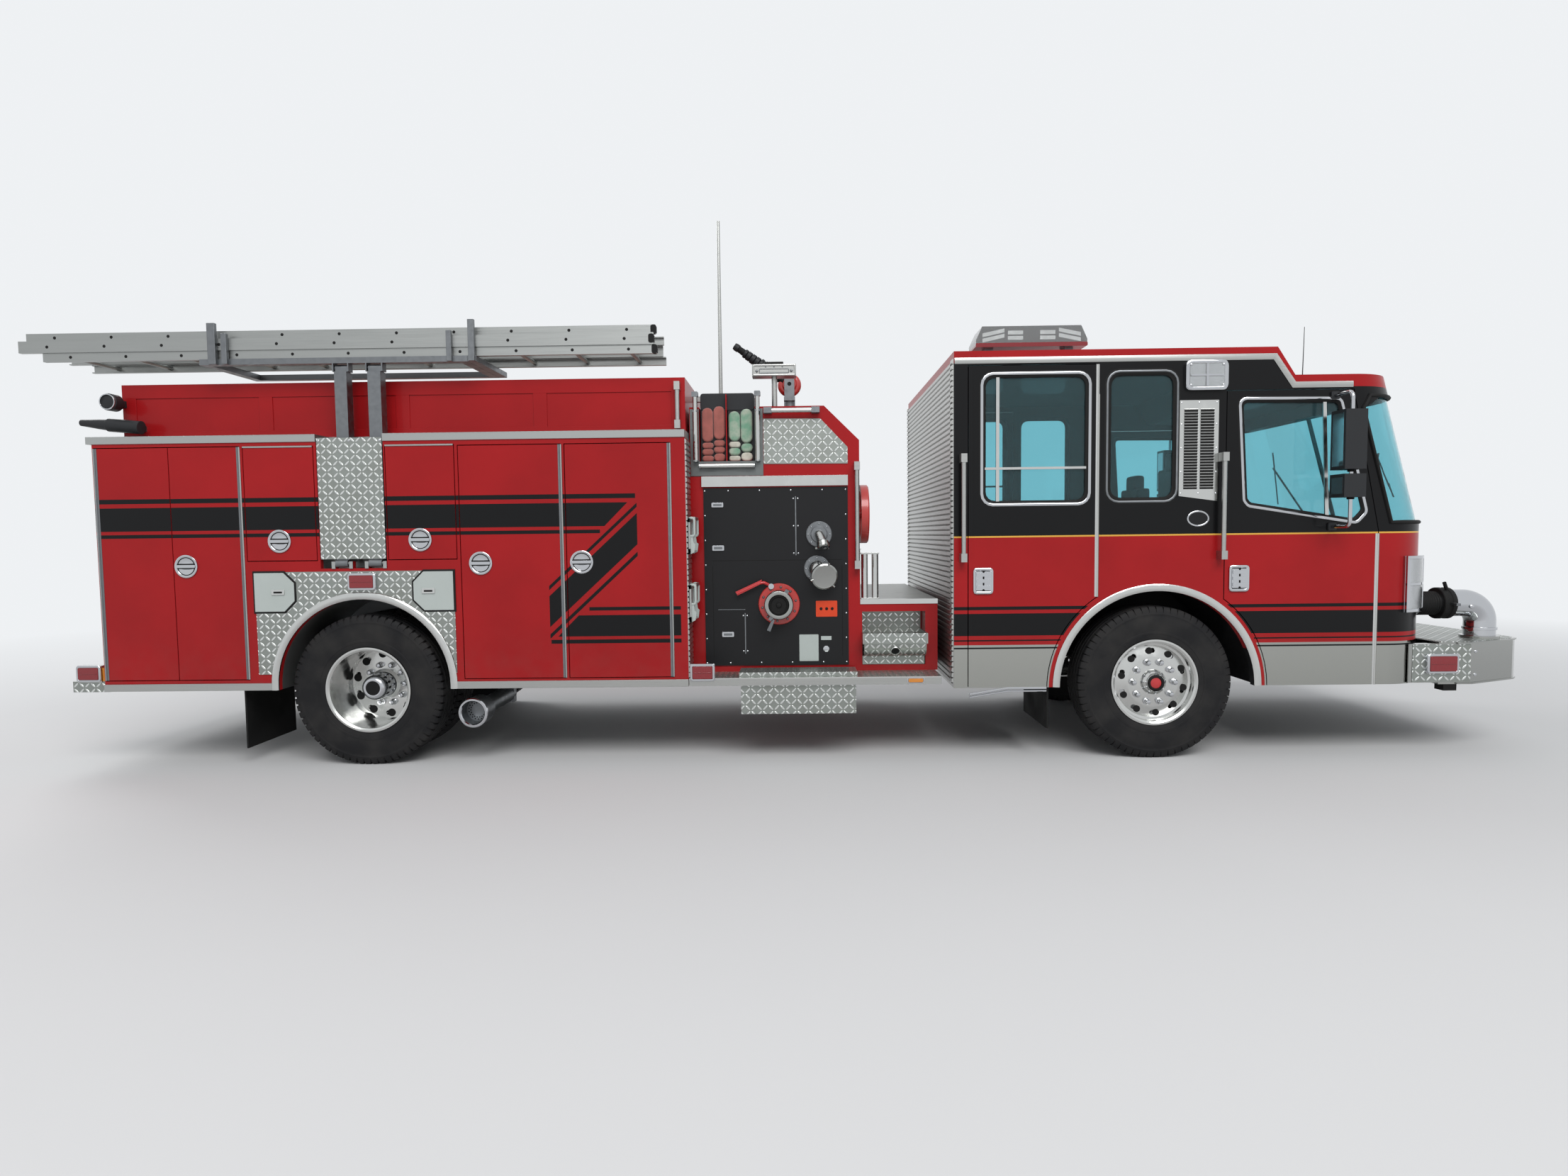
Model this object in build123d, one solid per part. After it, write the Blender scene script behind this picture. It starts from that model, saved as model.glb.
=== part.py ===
from build123d import *
import math
import os

# Fire engine, a pumper with a crew cab. Millimetres.
# X points forward, Y to the truck's left, Z up. The origin is on the ground, midway between
# the ladder tips and the bumper, on the centre plane. Pieces are drawn for the right side,
# where Y is negative, and the left ones are their mirror images.

# Driving dimensions
WHEELBASE = 5470
LADDER_OVERHANG = 2360
FRONT_OVERHANG = 2640
CAB_WIDTH = 2440
BODY_WIDTH = 2480
PUMP_WIDTH = 1900
REAR_AXLE = (LADDER_OVERHANG - WHEELBASE - FRONT_OVERHANG) / 2
FRONT_AXLE = REAR_AXLE + WHEELBASE
CAB_SIDE = -CAB_WIDTH / 2
BODY_SIDE = -BODY_WIDTH / 2
PUMP_SIDE = -PUMP_WIDTH / 2

# Clearances
RUN_FIT = 0.3
DOOR_GAP = 6
HINGE_RADIUS = 7

# Wheels
TYRE_RADIUS = 528
TYRE_WIDTH = 292
TYRE_BEAD_INSET = 28
TYRE_BULGE_RADIUS = 405
TYRE_SHOULDER = 22
BEAD_RADIUS = 286
FLANGE_RADIUS = 298.5
RIM_WIDTH = 252
FLANGE_WIDTH = 8
STUD_COUNT = 10
HAND_HOLE_CIRCLE = 218
HAND_HOLE_RADIUS = 17
FRONT_RIM_FACE = 1190
REAR_RIM_FACE = 1205
DUAL_SPACING = 345
HUB_Z = TYRE_RADIUS
SPINDLE_RADIUS = 42
REAR_SPINDLE_RADIUS = 55

# Chassis
RAIL_OUTER = 432
RAIL_WIDTH = 76
RAIL_BOTTOM = 622
RAIL_HEIGHT = 266
RAIL_WALL = 9
RAIL_TOP = RAIL_BOTTOM + RAIL_HEIGHT
RAIL_FRONT = FRONT_AXLE + 1880
SPRING_REACH = 600
TOW_EYE_Z = 470
TOW_EYE_RADIUS = 28
TOW_EYE_THICKNESS = 30
KINGPIN_Y = 860
KINGPIN_RADIUS = 22
BOSS_RADIUS = 46
BOSS_HEIGHT = 120

# Cab, with lengths counted from the front axle
CAB_REACH_BACK = 1390
CAB_REACH_FRONT = 1920
CAB_BACK = FRONT_AXLE - CAB_REACH_BACK
CAB_NOSE = FRONT_AXLE + CAB_REACH_FRONT
CAB_BOTTOM = 507
CAB_BELT = 1600
CAB_LOW_ROOF = 2612
CAB_HIGH_ROOF = 2800
CAB_HIGH_ROOF_END = FRONT_AXLE + 780
CAB_ROOF_STEP = 120
CAB_CORNER = 350
SCREEN_RAKE = 0.27
CAB_WALL = 50
CAB_FLOOR = 70
ARCH_Z = 500
CAB_ARCH_RADIUS = 665
CAB_WELL_RADIUS = 705
TUNNEL_HALF = 520
TUNNEL_WALL = 40
TUNNEL_TOP = 1560
RAIL_TUNNEL_TOP = 930
GLASS = 6

# Body, with lengths counted from the rear axle
BODY_TAIL = 1825
BODY_FORE = 2250
BODY_REAR = REAR_AXLE - BODY_TAIL
BODY_FRONT = REAR_AXLE + BODY_FORE
TOW_EYE_X = BODY_REAR + 130
BODY_BOTTOM = 540
BODY_TOP = 2250
BODY_INNER = -560
BODY_WALL = 30
DOOR_THICKNESS = 40
BODY_ARCH_Z = 567
BODY_ARCH_RADIUS = 602
TRIM_HEIGHT = 50
TRIM_PROUD = 8

# Hose bed
BED_SIDE = BODY_SIDE + 240
BED_TOP = 2690
BED_WALL = 40
BED_FLOOR = 2040

# Pump house, between the body and the cab
PUMP_LENGTH = 1205
PUMP_BOTTOM = 595
PUMP_TOP = 2488
PUMP_REAR = BODY_FRONT + 1
PUMP_FRONT = PUMP_REAR + PUMP_LENGTH
PLATFORM_TOP = 1105
PLATFORM_FRONT = CAB_BACK - 70

# Ladder rack, counted from the rear axle
RACK_HINGE_Y = BODY_SIDE + 5
RACK_HINGE_Z = 1415
RACK_REACH = 115
RACK_PIVOT_Y = BODY_SIDE + 110
RACK_PIVOT_Z = 2762
LADDER_SPACING = 430
POST_OUTER = BODY_SIDE + 70
POST_INNER = BODY_SIDE + 150


def block(x0, x1, y0, y1, z0, z1):
    """A box between two opposite corners."""
    centre = Pos((x0 + x1) / 2, (y0 + y1) / 2, (z0 + z1) / 2)
    return centre * Box(abs(x1 - x0), abs(y1 - y0), abs(z1 - z0))


def both_sides(x0, x1, y0, y1, z0, z1):
    """A box on the right side and its mirror image on the left."""
    return block(x0, x1, y0, y1, z0, z1) + block(x0, x1, -y0, -y1, z0, z1)


def rod(start, end, radius):
    """A round bar between two points."""
    run = Vector(*end) - Vector(*start)
    plane = Plane(origin=start, z_dir=run)
    return plane * Cylinder(radius, run.length, align=(Align.CENTER, Align.CENTER, Align.MIN))


def cone(start, end, radius0, radius1):
    """A tapered bar between two points."""
    run = Vector(*end) - Vector(*start)
    plane = Plane(origin=start, z_dir=run)
    return plane * Cone(radius0, radius1, run.length, align=(Align.CENTER, Align.CENTER, Align.MIN))


def tube(points, radius, bend):
    """A round bar along straight runs joined by bends of one radius."""
    path = FilletPolyline(*points, radius=bend)
    start = Plane(origin=path @ 0, z_dir=path % 0)
    return sweep(start * Circle(radius), path=path)


def side_plate(points, y0, y1):
    """A side outline, given as (x, z) corners, carried across from y0 to y1."""
    outline = Polyline(*[(x, z) for x, z in points], close=True)
    face = Plane.XZ * make_face(outline)
    low, high = min(y0, y1), max(y0, y1)
    return Pos(0, high, 0) * extrude(face, amount=high - low, dir=(0, -1, 0))


def plan_plate(points, z0, z1):
    """A plan outline, given as (x, y) corners, carried up from z0 to z1."""
    face = make_face(Polyline(*points, close=True))
    return Pos(0, 0, z0) * extrude(face, amount=z1 - z0, dir=(0, 0, 1))


def rounded_window(x0, x1, z0, z1, radius, y0, y1):
    """A window-shaped block with round corners, seen from the side."""
    shape = RectangleRounded(x1 - x0, z1 - z0, radius)
    face = Plane.XZ * (Pos((x0 + x1) / 2, (z0 + z1) / 2) * shape)
    return Pos(0, max(y0, y1), 0) * extrude(face, amount=abs(y1 - y0), dir=(0, -1, 0))


def disc(x, z, radius, y0, y1):
    """A round bar across the truck."""
    return rod((x, y0, z), (x, y1, z), radius)


def mirrored(shape):
    """The left-hand twin of a right-hand piece."""
    return mirror(shape, about=Plane.XZ)


def save(shape, name):
    """Writes one piece as its own file."""
    export_step(shape, os.path.join("parts", name + ".step"))


# Wheels

def wheel_ring(corners, x, y):
    """A ring turned about an axle, from (radius, offset outward) corners."""
    outline = Polyline(*[(r, -w) for r, w in corners], close=True)
    return Pos(x, y, HUB_Z) * revolve(make_face(outline), Axis.Y, 360)


def tyre(x, y):
    """One tyre: straight beads on the rim, walls widest at half height, a flat tread."""
    half = TYRE_WIDTH / 2
    bead = half - TYRE_BEAD_INSET
    seat = BEAD_RADIUS + RUN_FIT
    tread = half - TYRE_SHOULDER
    corners = [
        (seat, bead), (TYRE_BULGE_RADIUS, half), (TYRE_RADIUS, tread),
        (TYRE_RADIUS, -tread), (TYRE_BULGE_RADIUS, -half), (seat, -bead),
    ]
    return wheel_ring(corners, x, y)


def wheel_holes(x, y0, y1):
    """Hand holes around a wheel disc."""
    holes = []
    for i in range(STUD_COUNT):
        angle = 2 * math.pi * (i + 0.5) / STUD_COUNT
        hole_x = x + HAND_HOLE_CIRCLE * math.cos(angle)
        hole_z = HUB_Z + HAND_HOLE_CIRCLE * math.sin(angle)
        holes.append(disc(hole_x, hole_z, HAND_HOLE_RADIUS, y0, y1))
    return holes


def front_rim():
    """Front wheel: a polished disc near the outer face, on a closed hub."""
    y = -(FRONT_RIM_FACE - RIM_WIDTH / 2 - FLANGE_WIDTH)
    half = RIM_WIDTH / 2
    edge = half + FLANGE_WIDTH
    bore = SPINDLE_RADIUS + RUN_FIT
    corners = [
        (0, edge), (52, edge), (64, 104), (176, 98), (252, 74), (268, 78), (274, half),
        (286, edge), (FLANGE_RADIUS, edge), (FLANGE_RADIUS, half), (BEAD_RADIUS, half),
        (BEAD_RADIUS, -half), (FLANGE_RADIUS, -half), (FLANGE_RADIUS, -edge), (286, -edge),
        (272, -half), (262, -40), (258, 56), (176, 84), (96, 88), (96, -62), (bore, -62),
        (bore, 92), (0, 92),
    ]
    rim = wheel_ring(corners, FRONT_AXLE, y)
    rim -= wheel_holes(FRONT_AXLE, y, y - edge)
    return rim


def rear_rims():
    """Rear pair on one hub: a deeply dished outer wheel, bolted to the inner one."""
    y = -(REAR_RIM_FACE - RIM_WIDTH / 2 - FLANGE_WIDTH)
    half = RIM_WIDTH / 2
    edge = half + FLANGE_WIDTH
    bore = REAR_SPINDLE_RADIUS + RUN_FIT
    joint = -DUAL_SPACING / 2
    inner = joint * 2
    plate = 12
    corners = [
        (0, 62), (58, 62), (72, 40), (72, -96), (112, joint + 46), (112, joint + plate),
        (252, joint + plate), (262, joint + 60), (274, half), (286, edge), (FLANGE_RADIUS, edge),
        (FLANGE_RADIUS, half), (BEAD_RADIUS, half), (BEAD_RADIUS, -half), (FLANGE_RADIUS, -half),
        (FLANGE_RADIUS, -edge), (276, -edge), (268, joint), (276, inner + edge),
        (FLANGE_RADIUS, inner + edge), (FLANGE_RADIUS, inner + half), (BEAD_RADIUS, inner + half),
        (BEAD_RADIUS, inner - half), (FLANGE_RADIUS, inner - half), (FLANGE_RADIUS, inner - edge),
        (286, inner - edge), (272, inner - half), (254, joint - 60), (244, joint - plate),
        (112, joint - plate), (112, joint - 70), (bore, joint - 70), (bore, 20), (0, 20),
    ]
    rims = wheel_ring(corners, REAR_AXLE, y)
    rims -= wheel_holes(REAR_AXLE, y - joint + plate + 1, y - joint - plate - 1)
    return rims


def front_tyre():
    return tyre(FRONT_AXLE, -(FRONT_RIM_FACE - RIM_WIDTH / 2 - FLANGE_WIDTH))


def rear_tyres():
    outer = -(REAR_RIM_FACE - RIM_WIDTH / 2 - FLANGE_WIDTH)
    return tyre(REAR_AXLE, outer) + tyre(REAR_AXLE, outer + DUAL_SPACING)


# Chassis

def frame_rails():
    """Two channel rails with cross members and leaf springs."""
    rear = BODY_REAR + 50
    front = RAIL_FRONT
    top = RAIL_TOP
    inner = RAIL_OUTER - RAIL_WIDTH
    rails = both_sides(rear, front, -RAIL_OUTER, -inner, RAIL_BOTTOM, top)
    web = RAIL_OUTER - RAIL_WALL
    rails -= both_sides(rear, front, -web, -inner + 1, RAIL_BOTTOM + RAIL_WALL, top - RAIL_WALL)
    member_z = (RAIL_BOTTOM + 60, top - 60)
    for x in (rear + 30, REAR_AXLE - 700, REAR_AXLE + 700, BODY_FRONT - 250, FRONT_AXLE - 2170, front - 60):
        rails += block(x - 30, x + 30, -web, web, *member_z)
    spring_inner = RAIL_OUTER - 1
    spring_outer = RAIL_OUTER + 84
    for axle in (REAR_AXLE, FRONT_AXLE):
        leaf = [
            (axle - SPRING_REACH, RAIL_BOTTOM + 60), (axle - 70, HUB_Z + 70), (axle + 70, HUB_Z + 70),
            (axle + SPRING_REACH, RAIL_BOTTOM + 60), (axle + SPRING_REACH, RAIL_BOTTOM + 74),
            (axle + 70, HUB_Z + 132), (axle - 70, HUB_Z + 132), (axle - SPRING_REACH, RAIL_BOTTOM + 74),
        ]
        spring = side_plate(leaf, -spring_outer, -spring_inner)
        for end in (-SPRING_REACH, SPRING_REACH):
            spring += block(axle + end - 25, axle + end + 25, -spring_outer, -spring_inner,
                            RAIL_BOTTOM + 50, RAIL_BOTTOM + 120)
        rails += spring
        rails += mirrored(spring)
    carried = ((BODY_REAR + 200, BODY_INNER), (REAR_AXLE + 1000, BODY_INNER), (REAR_AXLE + 1900, BODY_INNER),
               (CAB_BACK + 90, TUNNEL_WALL - TUNNEL_HALF), (FRONT_AXLE + 1750, TUNNEL_WALL - TUNNEL_HALF))
    for x, y in carried:
        rails += both_sides(x - 40, x + 40, y, -RAIL_OUTER + 1, RAIL_BOTTOM + 20, RAIL_BOTTOM + 100)
    rails += both_sides(rear + 10, rear + 150, -RAIL_OUTER, -RAIL_OUTER + TOW_EYE_THICKNESS,
                        TOW_EYE_Z - 60, RAIL_BOTTOM + 1)
    for side in (-1, 1):
        rails -= disc(TOW_EYE_X, TOW_EYE_Z, TOW_EYE_RADIUS, side * (RAIL_OUTER + 1),
                      side * (RAIL_OUTER - TOW_EYE_THICKNESS - 1))
    return rails


def front_axle():
    """A forged beam, dropped between the springs, with a boss for each kingpin."""
    inner = KINGPIN_Y - BOSS_RADIUS + 6
    beam = block(FRONT_AXLE - 50, FRONT_AXLE + 50, -inner, inner, HUB_Z - 60, HUB_Z + 40)
    beam += both_sides(FRONT_AXLE - 70, FRONT_AXLE + 70, -RAIL_OUTER - 100, -RAIL_OUTER + 20,
                       HUB_Z + 40, HUB_Z + 70)
    for side in (-1, 1):
        y = side * KINGPIN_Y
        low, high = HUB_Z - BOSS_HEIGHT / 2, HUB_Z + BOSS_HEIGHT / 2
        beam += rod((FRONT_AXLE, y, low), (FRONT_AXLE, y, high), BOSS_RADIUS)
        beam -= rod((FRONT_AXLE, y, low - 1), (FRONT_AXLE, y, high + 1), KINGPIN_RADIUS + RUN_FIT)
    return beam


def knuckle():
    """Right steering knuckle: two ears on the kingpin, a back plate and the wheel spindle."""
    y = -KINGPIN_Y
    half = BOSS_HEIGHT / 2
    ear = 36
    plate_in = y - BOSS_RADIUS - 12
    plate_out = plate_in - 22
    piece = rod((FRONT_AXLE, y, HUB_Z - half - ear), (FRONT_AXLE, y, HUB_Z + half + ear),
                KINGPIN_RADIUS)
    for low in (HUB_Z - half - ear, HUB_Z + half + RUN_FIT):
        top = low + ear - RUN_FIT
        piece += rod((FRONT_AXLE, y, low), (FRONT_AXLE, y, top), BOSS_RADIUS)
        piece += block(FRONT_AXLE - BOSS_RADIUS, FRONT_AXLE + BOSS_RADIUS, y, plate_out, low, top)
    piece += block(FRONT_AXLE - BOSS_RADIUS, FRONT_AXLE + BOSS_RADIUS, plate_in, plate_out,
                   HUB_Z - half - ear, HUB_Z + half + ear)
    tip = -(FRONT_RIM_FACE - RIM_WIDTH / 2 - FLANGE_WIDTH) - 90
    piece += disc(FRONT_AXLE, HUB_Z, SPINDLE_RADIUS, plate_out + 1, tip)
    return piece


def rear_axle():
    """A tube housing with the differential at its middle and a spindle at each end."""
    outer = REAR_RIM_FACE - RIM_WIDTH / 2 - FLANGE_WIDTH
    tip = outer + 18
    piece = disc(REAR_AXLE, HUB_Z, 70, -(outer - DUAL_SPACING - 100), outer - DUAL_SPACING - 100)
    piece += disc(REAR_AXLE, HUB_Z, REAR_SPINDLE_RADIUS, -tip, tip)
    piece += disc(REAR_AXLE, HUB_Z, 190, -120, 120)
    piece += cone((REAR_AXLE + 100, 0, HUB_Z), (REAR_AXLE + 380, 0, HUB_Z), 130, 70)
    return piece


def engine_block():
    """Engine and gearbox as one plain mass under the cab's tunnel."""
    engine = block(FRONT_AXLE - 900, FRONT_AXLE + 1100, -340, 340, 700, 1500)
    engine += block(FRONT_AXLE - 1700, FRONT_AXLE - 899, -220, 220, 560, RAIL_TOP - 10)
    for x in (FRONT_AXLE - 700, FRONT_AXLE + 900):
        engine += both_sides(x - 50, x + 50, -RAIL_OUTER + 12, -339, RAIL_TOP, RAIL_TOP + 40)
    return engine


def exhaust():
    """Tail pipe ahead of the right rear wheel, with its outlet facing outward."""
    x = REAR_AXLE + 733
    z = 362
    pipe = disc(x, z, 100, -1040, -1210)
    pipe -= disc(x, z, 82, -1100, -1211)
    pipe += disc(x, z, 62, -RAIL_OUTER, -1041)
    pipe += block(x - 60, x + 60, -RAIL_OUTER - 60, -RAIL_OUTER, z - 60, RAIL_BOTTOM + 100)
    return pipe


# Cab

def cab_plan(nose, inset):
    """Plan outline of the cab, square at the back and round at the front corners."""
    side = CAB_WIDTH / 2 - inset
    back = CAB_BACK + inset
    front = nose - inset
    radius = CAB_CORNER - inset
    mid = radius * (1 - math.sqrt(0.5))
    edges = [
        Line((back, side), (back, -side)), Line((back, -side), (front - radius, -side)),
        ThreePointArc((front - radius, -side), (front - mid, -side + mid), (front, -side + radius)),
        Line((front, -side + radius), (front, side - radius)),
        ThreePointArc((front, side - radius), (front - mid, side - mid), (front - radius, side)),
        Line((front - radius, side), (back, side)),
    ]
    return make_face(Curve() + edges)


def cab_form(inset, bottom, top):
    """The cab below its low roof: upright to the belt, raked above it."""
    lower = Pos(0, 0, bottom) * extrude(cab_plan(CAB_NOSE, inset), amount=CAB_BELT - bottom)
    top_nose = CAB_NOSE - (top - CAB_BELT) * SCREEN_RAKE
    upper = loft([Pos(0, 0, CAB_BELT) * cab_plan(CAB_NOSE, inset),
                  Pos(0, 0, top) * cab_plan(top_nose, inset)], ruled=True)
    return lower + upper


def raised_roof(inset, bottom):
    """The high roof over the crew, with a sloped front."""
    top = CAB_HIGH_ROOF - inset
    end = CAB_HIGH_ROOF_END - inset
    step = CAB_ROOF_STEP * (top - bottom) / (CAB_HIGH_ROOF - CAB_LOW_ROOF)
    back = CAB_BACK + inset
    side = CAB_WIDTH / 2 - inset
    outline = [(back, bottom), (back, top), (end, top), (end + step, bottom)]
    return side_plate(outline, -side, side)


REAR_DOOR = (FRONT_AXLE - 1290, FRONT_AXLE - 415)
REAR_DOOR_TOP = 2700
FRONT_DOOR = (FRONT_AXLE + 450, FRONT_AXLE + 1480)
FRONT_DOOR_TOP = 2510
FRONT_DOOR_RAKE = 190
DOOR_ARCH_RADIUS = 755
CAB_DOOR_THICKNESS = 45


def rear_cab_door_shape(grow, y0, y1):
    """Rear cab door outline, cut round the wheel arch."""
    x0, x1 = REAR_DOOR
    shape = block(x0 - grow, x1 + grow, y0, y1, CAB_BOTTOM - grow, REAR_DOOR_TOP + grow)
    return shape - disc(FRONT_AXLE, ARCH_Z, DOOR_ARCH_RADIUS - grow, y0 - 1, y1 + 1)


def front_cab_door_shape(grow, y0, y1):
    """Front cab door outline, raked beside the windscreen and cut round the arch."""
    x0, x1 = FRONT_DOOR
    outline = [
        (x0 - grow, CAB_BOTTOM - grow), (x0 - grow, FRONT_DOOR_TOP + grow),
        (x1 - FRONT_DOOR_RAKE + grow, FRONT_DOOR_TOP + grow), (x1 + grow, CAB_BELT - 40),
        (x1 + grow, CAB_BOTTOM - grow),
    ]
    shape = side_plate(outline, y0, y1)
    return shape - disc(FRONT_AXLE, ARCH_Z, DOOR_ARCH_RADIUS - grow, y0 - 1, y1 + 1)


def hinge_barrel(x, y, z0, z1, grow=0):
    """Upright piano hinge barrel, or its groove when grown."""
    return rod((x, y, z0 - grow), (x, y, z1 + grow), HINGE_RADIUS + grow)


def rear_cab_door():
    x1 = REAR_DOOR[1]
    outer, inner = CAB_SIDE, CAB_SIDE + CAB_DOOR_THICKNESS
    door = rear_cab_door_shape(0, outer, inner)
    door += hinge_barrel(x1 + DOOR_GAP / 2, CAB_SIDE, 1130, REAR_DOOR_TOP)
    door -= rear_window(0)
    return door


def rear_window(inset):
    x0 = FRONT_AXLE - 1210
    x1 = FRONT_AXLE - 465
    return rounded_window(x0 + inset, x1 - inset, 1755 + inset, 2655 - inset, 80 - inset,
                          CAB_SIDE - 20, CAB_SIDE + CAB_WALL + 20)


FRONT_WINDOW = [(535, 2455), (1205, 2448), (1395, 1690), (1330, 1618), (605, 1738), (575, 1775)]


def front_window():
    points = [(FRONT_AXLE + x, z) for x, z in FRONT_WINDOW]
    return side_plate(points, CAB_SIDE - 20, CAB_SIDE + CAB_WALL + 20)


def pane(window):
    """A glass pane that fills a window cut, set back from the outer face."""
    return window & block(CAB_BACK, CAB_NOSE, CAB_SIDE + 16, CAB_SIDE + 16 + GLASS, 0, 3000)


def front_cab_door():
    x1 = FRONT_DOOR[1]
    outer, inner = CAB_SIDE, CAB_SIDE + CAB_DOOR_THICKNESS
    door = front_cab_door_shape(0, outer, inner)
    door += hinge_barrel(x1 + DOOR_GAP / 2, CAB_SIDE, CAB_BOTTOM, CAB_BELT - 60)
    door -= front_window()
    return door


MIRROR_X = FRONT_AXLE + 1165
MIRROR_REACH = 200
MIRROR_ARM = (1590, 2470)


def mirrors():
    """Mirror arm bolted on the front door, with a tall and a short mirror head."""
    y = CAB_SIDE - MIRROR_REACH
    low, high = MIRROR_ARM
    arm = tube([(MIRROR_X, CAB_SIDE, high), (MIRROR_X, y, high), (MIRROR_X, y, low),
                (MIRROR_X, CAB_SIDE, low)], 11, 40)
    for bottom, top in ((1960, 2345), (1780, 1930)):
        arm += block(MIRROR_X - 90, MIRROR_X + 50, y - 80, y + 80, bottom, top)
    return arm


def cab_hull():
    """The whole hollow cab: roof, walls, floor, engine tunnel, wheel wells and openings."""
    outer = cab_form(0, CAB_BOTTOM, CAB_LOW_ROOF) + raised_roof(0, CAB_LOW_ROOF)
    inside = cab_form(CAB_WALL, CAB_BOTTOM + CAB_FLOOR, CAB_LOW_ROOF - CAB_WALL)
    inside += raised_roof(CAB_WALL, CAB_LOW_ROOF - CAB_WALL - 1)
    well_in = -RAIL_OUTER - 20
    for side in (-1, 1):
        inside -= disc(FRONT_AXLE, ARCH_Z, CAB_WELL_RADIUS + 30, side * TUNNEL_HALF,
                       side * CAB_WIDTH / 2)
    hump = block(CAB_BACK, FRONT_AXLE + 1300, -TUNNEL_HALF, TUNNEL_HALF, 0, TUNNEL_TOP)
    hump += block(CAB_BACK, CAB_NOSE, -TUNNEL_HALF, TUNNEL_HALF, 0, RAIL_TUNNEL_TOP + 40)
    inside -= hump
    shell = outer - inside
    wall = TUNNEL_WALL
    void = block(CAB_BACK - 1, FRONT_AXLE + 1300 - wall, wall - TUNNEL_HALF, TUNNEL_HALF - wall,
                 0, TUNNEL_TOP - wall)
    void += block(CAB_BACK - 1, CAB_NOSE + 1, wall - TUNNEL_HALF, TUNNEL_HALF - wall,
                  0, RAIL_TUNNEL_TOP)
    for side in (-1, 1):
        void += disc(FRONT_AXLE, ARCH_Z, CAB_WELL_RADIUS, -side * well_in,
                     side * (CAB_WIDTH / 2 - CAB_WALL))
        void += disc(FRONT_AXLE, ARCH_Z, CAB_ARCH_RADIUS, -side * well_in,
                     side * (CAB_WIDTH / 2 + 1))
    shell -= void
    cuts = rear_cab_door_shape(DOOR_GAP, CAB_SIDE - 1, CAB_SIDE + CAB_WALL + 1)
    cuts += front_cab_door_shape(DOOR_GAP, CAB_SIDE - 1, CAB_SIDE + CAB_WALL + 1)
    cuts += hinge_barrel(REAR_DOOR[1] + DOOR_GAP / 2, CAB_SIDE, 1130, REAR_DOOR_TOP, RUN_FIT)
    cuts += hinge_barrel(FRONT_DOOR[1] + DOOR_GAP / 2, CAB_SIDE, CAB_BOTTOM, CAB_BELT - 60, RUN_FIT)
    cuts += mid_window()
    shell -= cuts
    shell -= mirrored(cuts)
    shell -= screen_cut()
    return shell


def roof_zone():
    """Everything above the joint between the walls and the roof panels."""
    side = CAB_WIDTH / 2 + 1
    return block(CAB_BACK - 1, CAB_NOSE + 1, -side, side, CAB_LOW_ROOF - CAB_WALL, CAB_HIGH_ROOF + 1)


def cab_shell():
    """Walls, front, floor and tunnel."""
    return cab_hull() - roof_zone()


def cab_roof():
    """The low roof and the raised one behind it."""
    return cab_hull() & roof_zone()


def mid_window():
    return rounded_window(FRONT_AXLE - 360, FRONT_AXLE + 120, 1770, 2655, 80,
                          CAB_SIDE - 20, CAB_SIDE + CAB_WALL + 20)


def screen_cut():
    """The windscreen opening, wrapped round both front corners."""
    outline = [
        (FRONT_AXLE + 1370, 2385), (FRONT_AXLE + 1500, 2470), (CAB_NOSE + 50, 2470),
        (CAB_NOSE + 50, 1615), (FRONT_AXLE + 1575, 1615),
    ]
    return side_plate(outline, -CAB_WIDTH / 2 - 1, CAB_WIDTH / 2 + 1)


def cab_glass():
    """Windscreen and the fixed side windows between the doors."""
    screen = cab_form(14, CAB_BOTTOM, CAB_LOW_ROOF) - cab_form(14 + GLASS, CAB_BOTTOM - 1, CAB_LOW_ROOF)
    screen &= screen_cut()
    side = pane(mid_window())
    return screen + side + mirrored(side)


SEATS = (
    # back x from the front axle, centre y, floor z, cushion z, facing (1 forward, -1 rearward)
    (560, CAB_SIDE + 390, CAB_BOTTOM + CAB_FLOOR, 1260, 1),
    (330, CAB_SIDE + 390, ARCH_Z + CAB_WELL_RADIUS + 30, 1330, -1),
    (-1338, CAB_SIDE + 390, CAB_BOTTOM + CAB_FLOOR, 1080, 1),
)


def seat(back_x, y, floor, cushion_z, facing):
    """One seat: pedestal, cushion, backrest and headrest."""
    half = 240
    x = FRONT_AXLE + back_x
    ahead = [x + facing * reach for reach in (240, 500, 0, 540, 110)]
    piece = block(ahead[0], ahead[1], y - half + 60, y + half - 60, floor, cushion_z)
    piece += block(ahead[2], ahead[3], y - half, y + half, cushion_z, cushion_z + 110)
    piece += block(ahead[2], ahead[4], y - half, y + half, cushion_z + 109, cushion_z + 620)
    piece += block(ahead[2], ahead[4], y - half / 2, y + half / 2, cushion_z + 619, cushion_z + 820)
    return piece


def cab_interior():
    """Seats on pedestals, the dashboard and the steering wheel."""
    parts = [seat(*row) for row in SEATS]
    front = CAB_NOSE - CAB_WALL
    wide = CAB_SIDE + 120
    deep = CAB_SIDE + 400
    dash = block(front - 420, front - 300, wide, -wide, 1200, 1560)
    dash += block(front - 301, front, deep, -deep, 1300, 1560)
    piece = dash
    for right in parts:
        piece += right
        piece += mirrored(right)
    return piece


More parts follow.
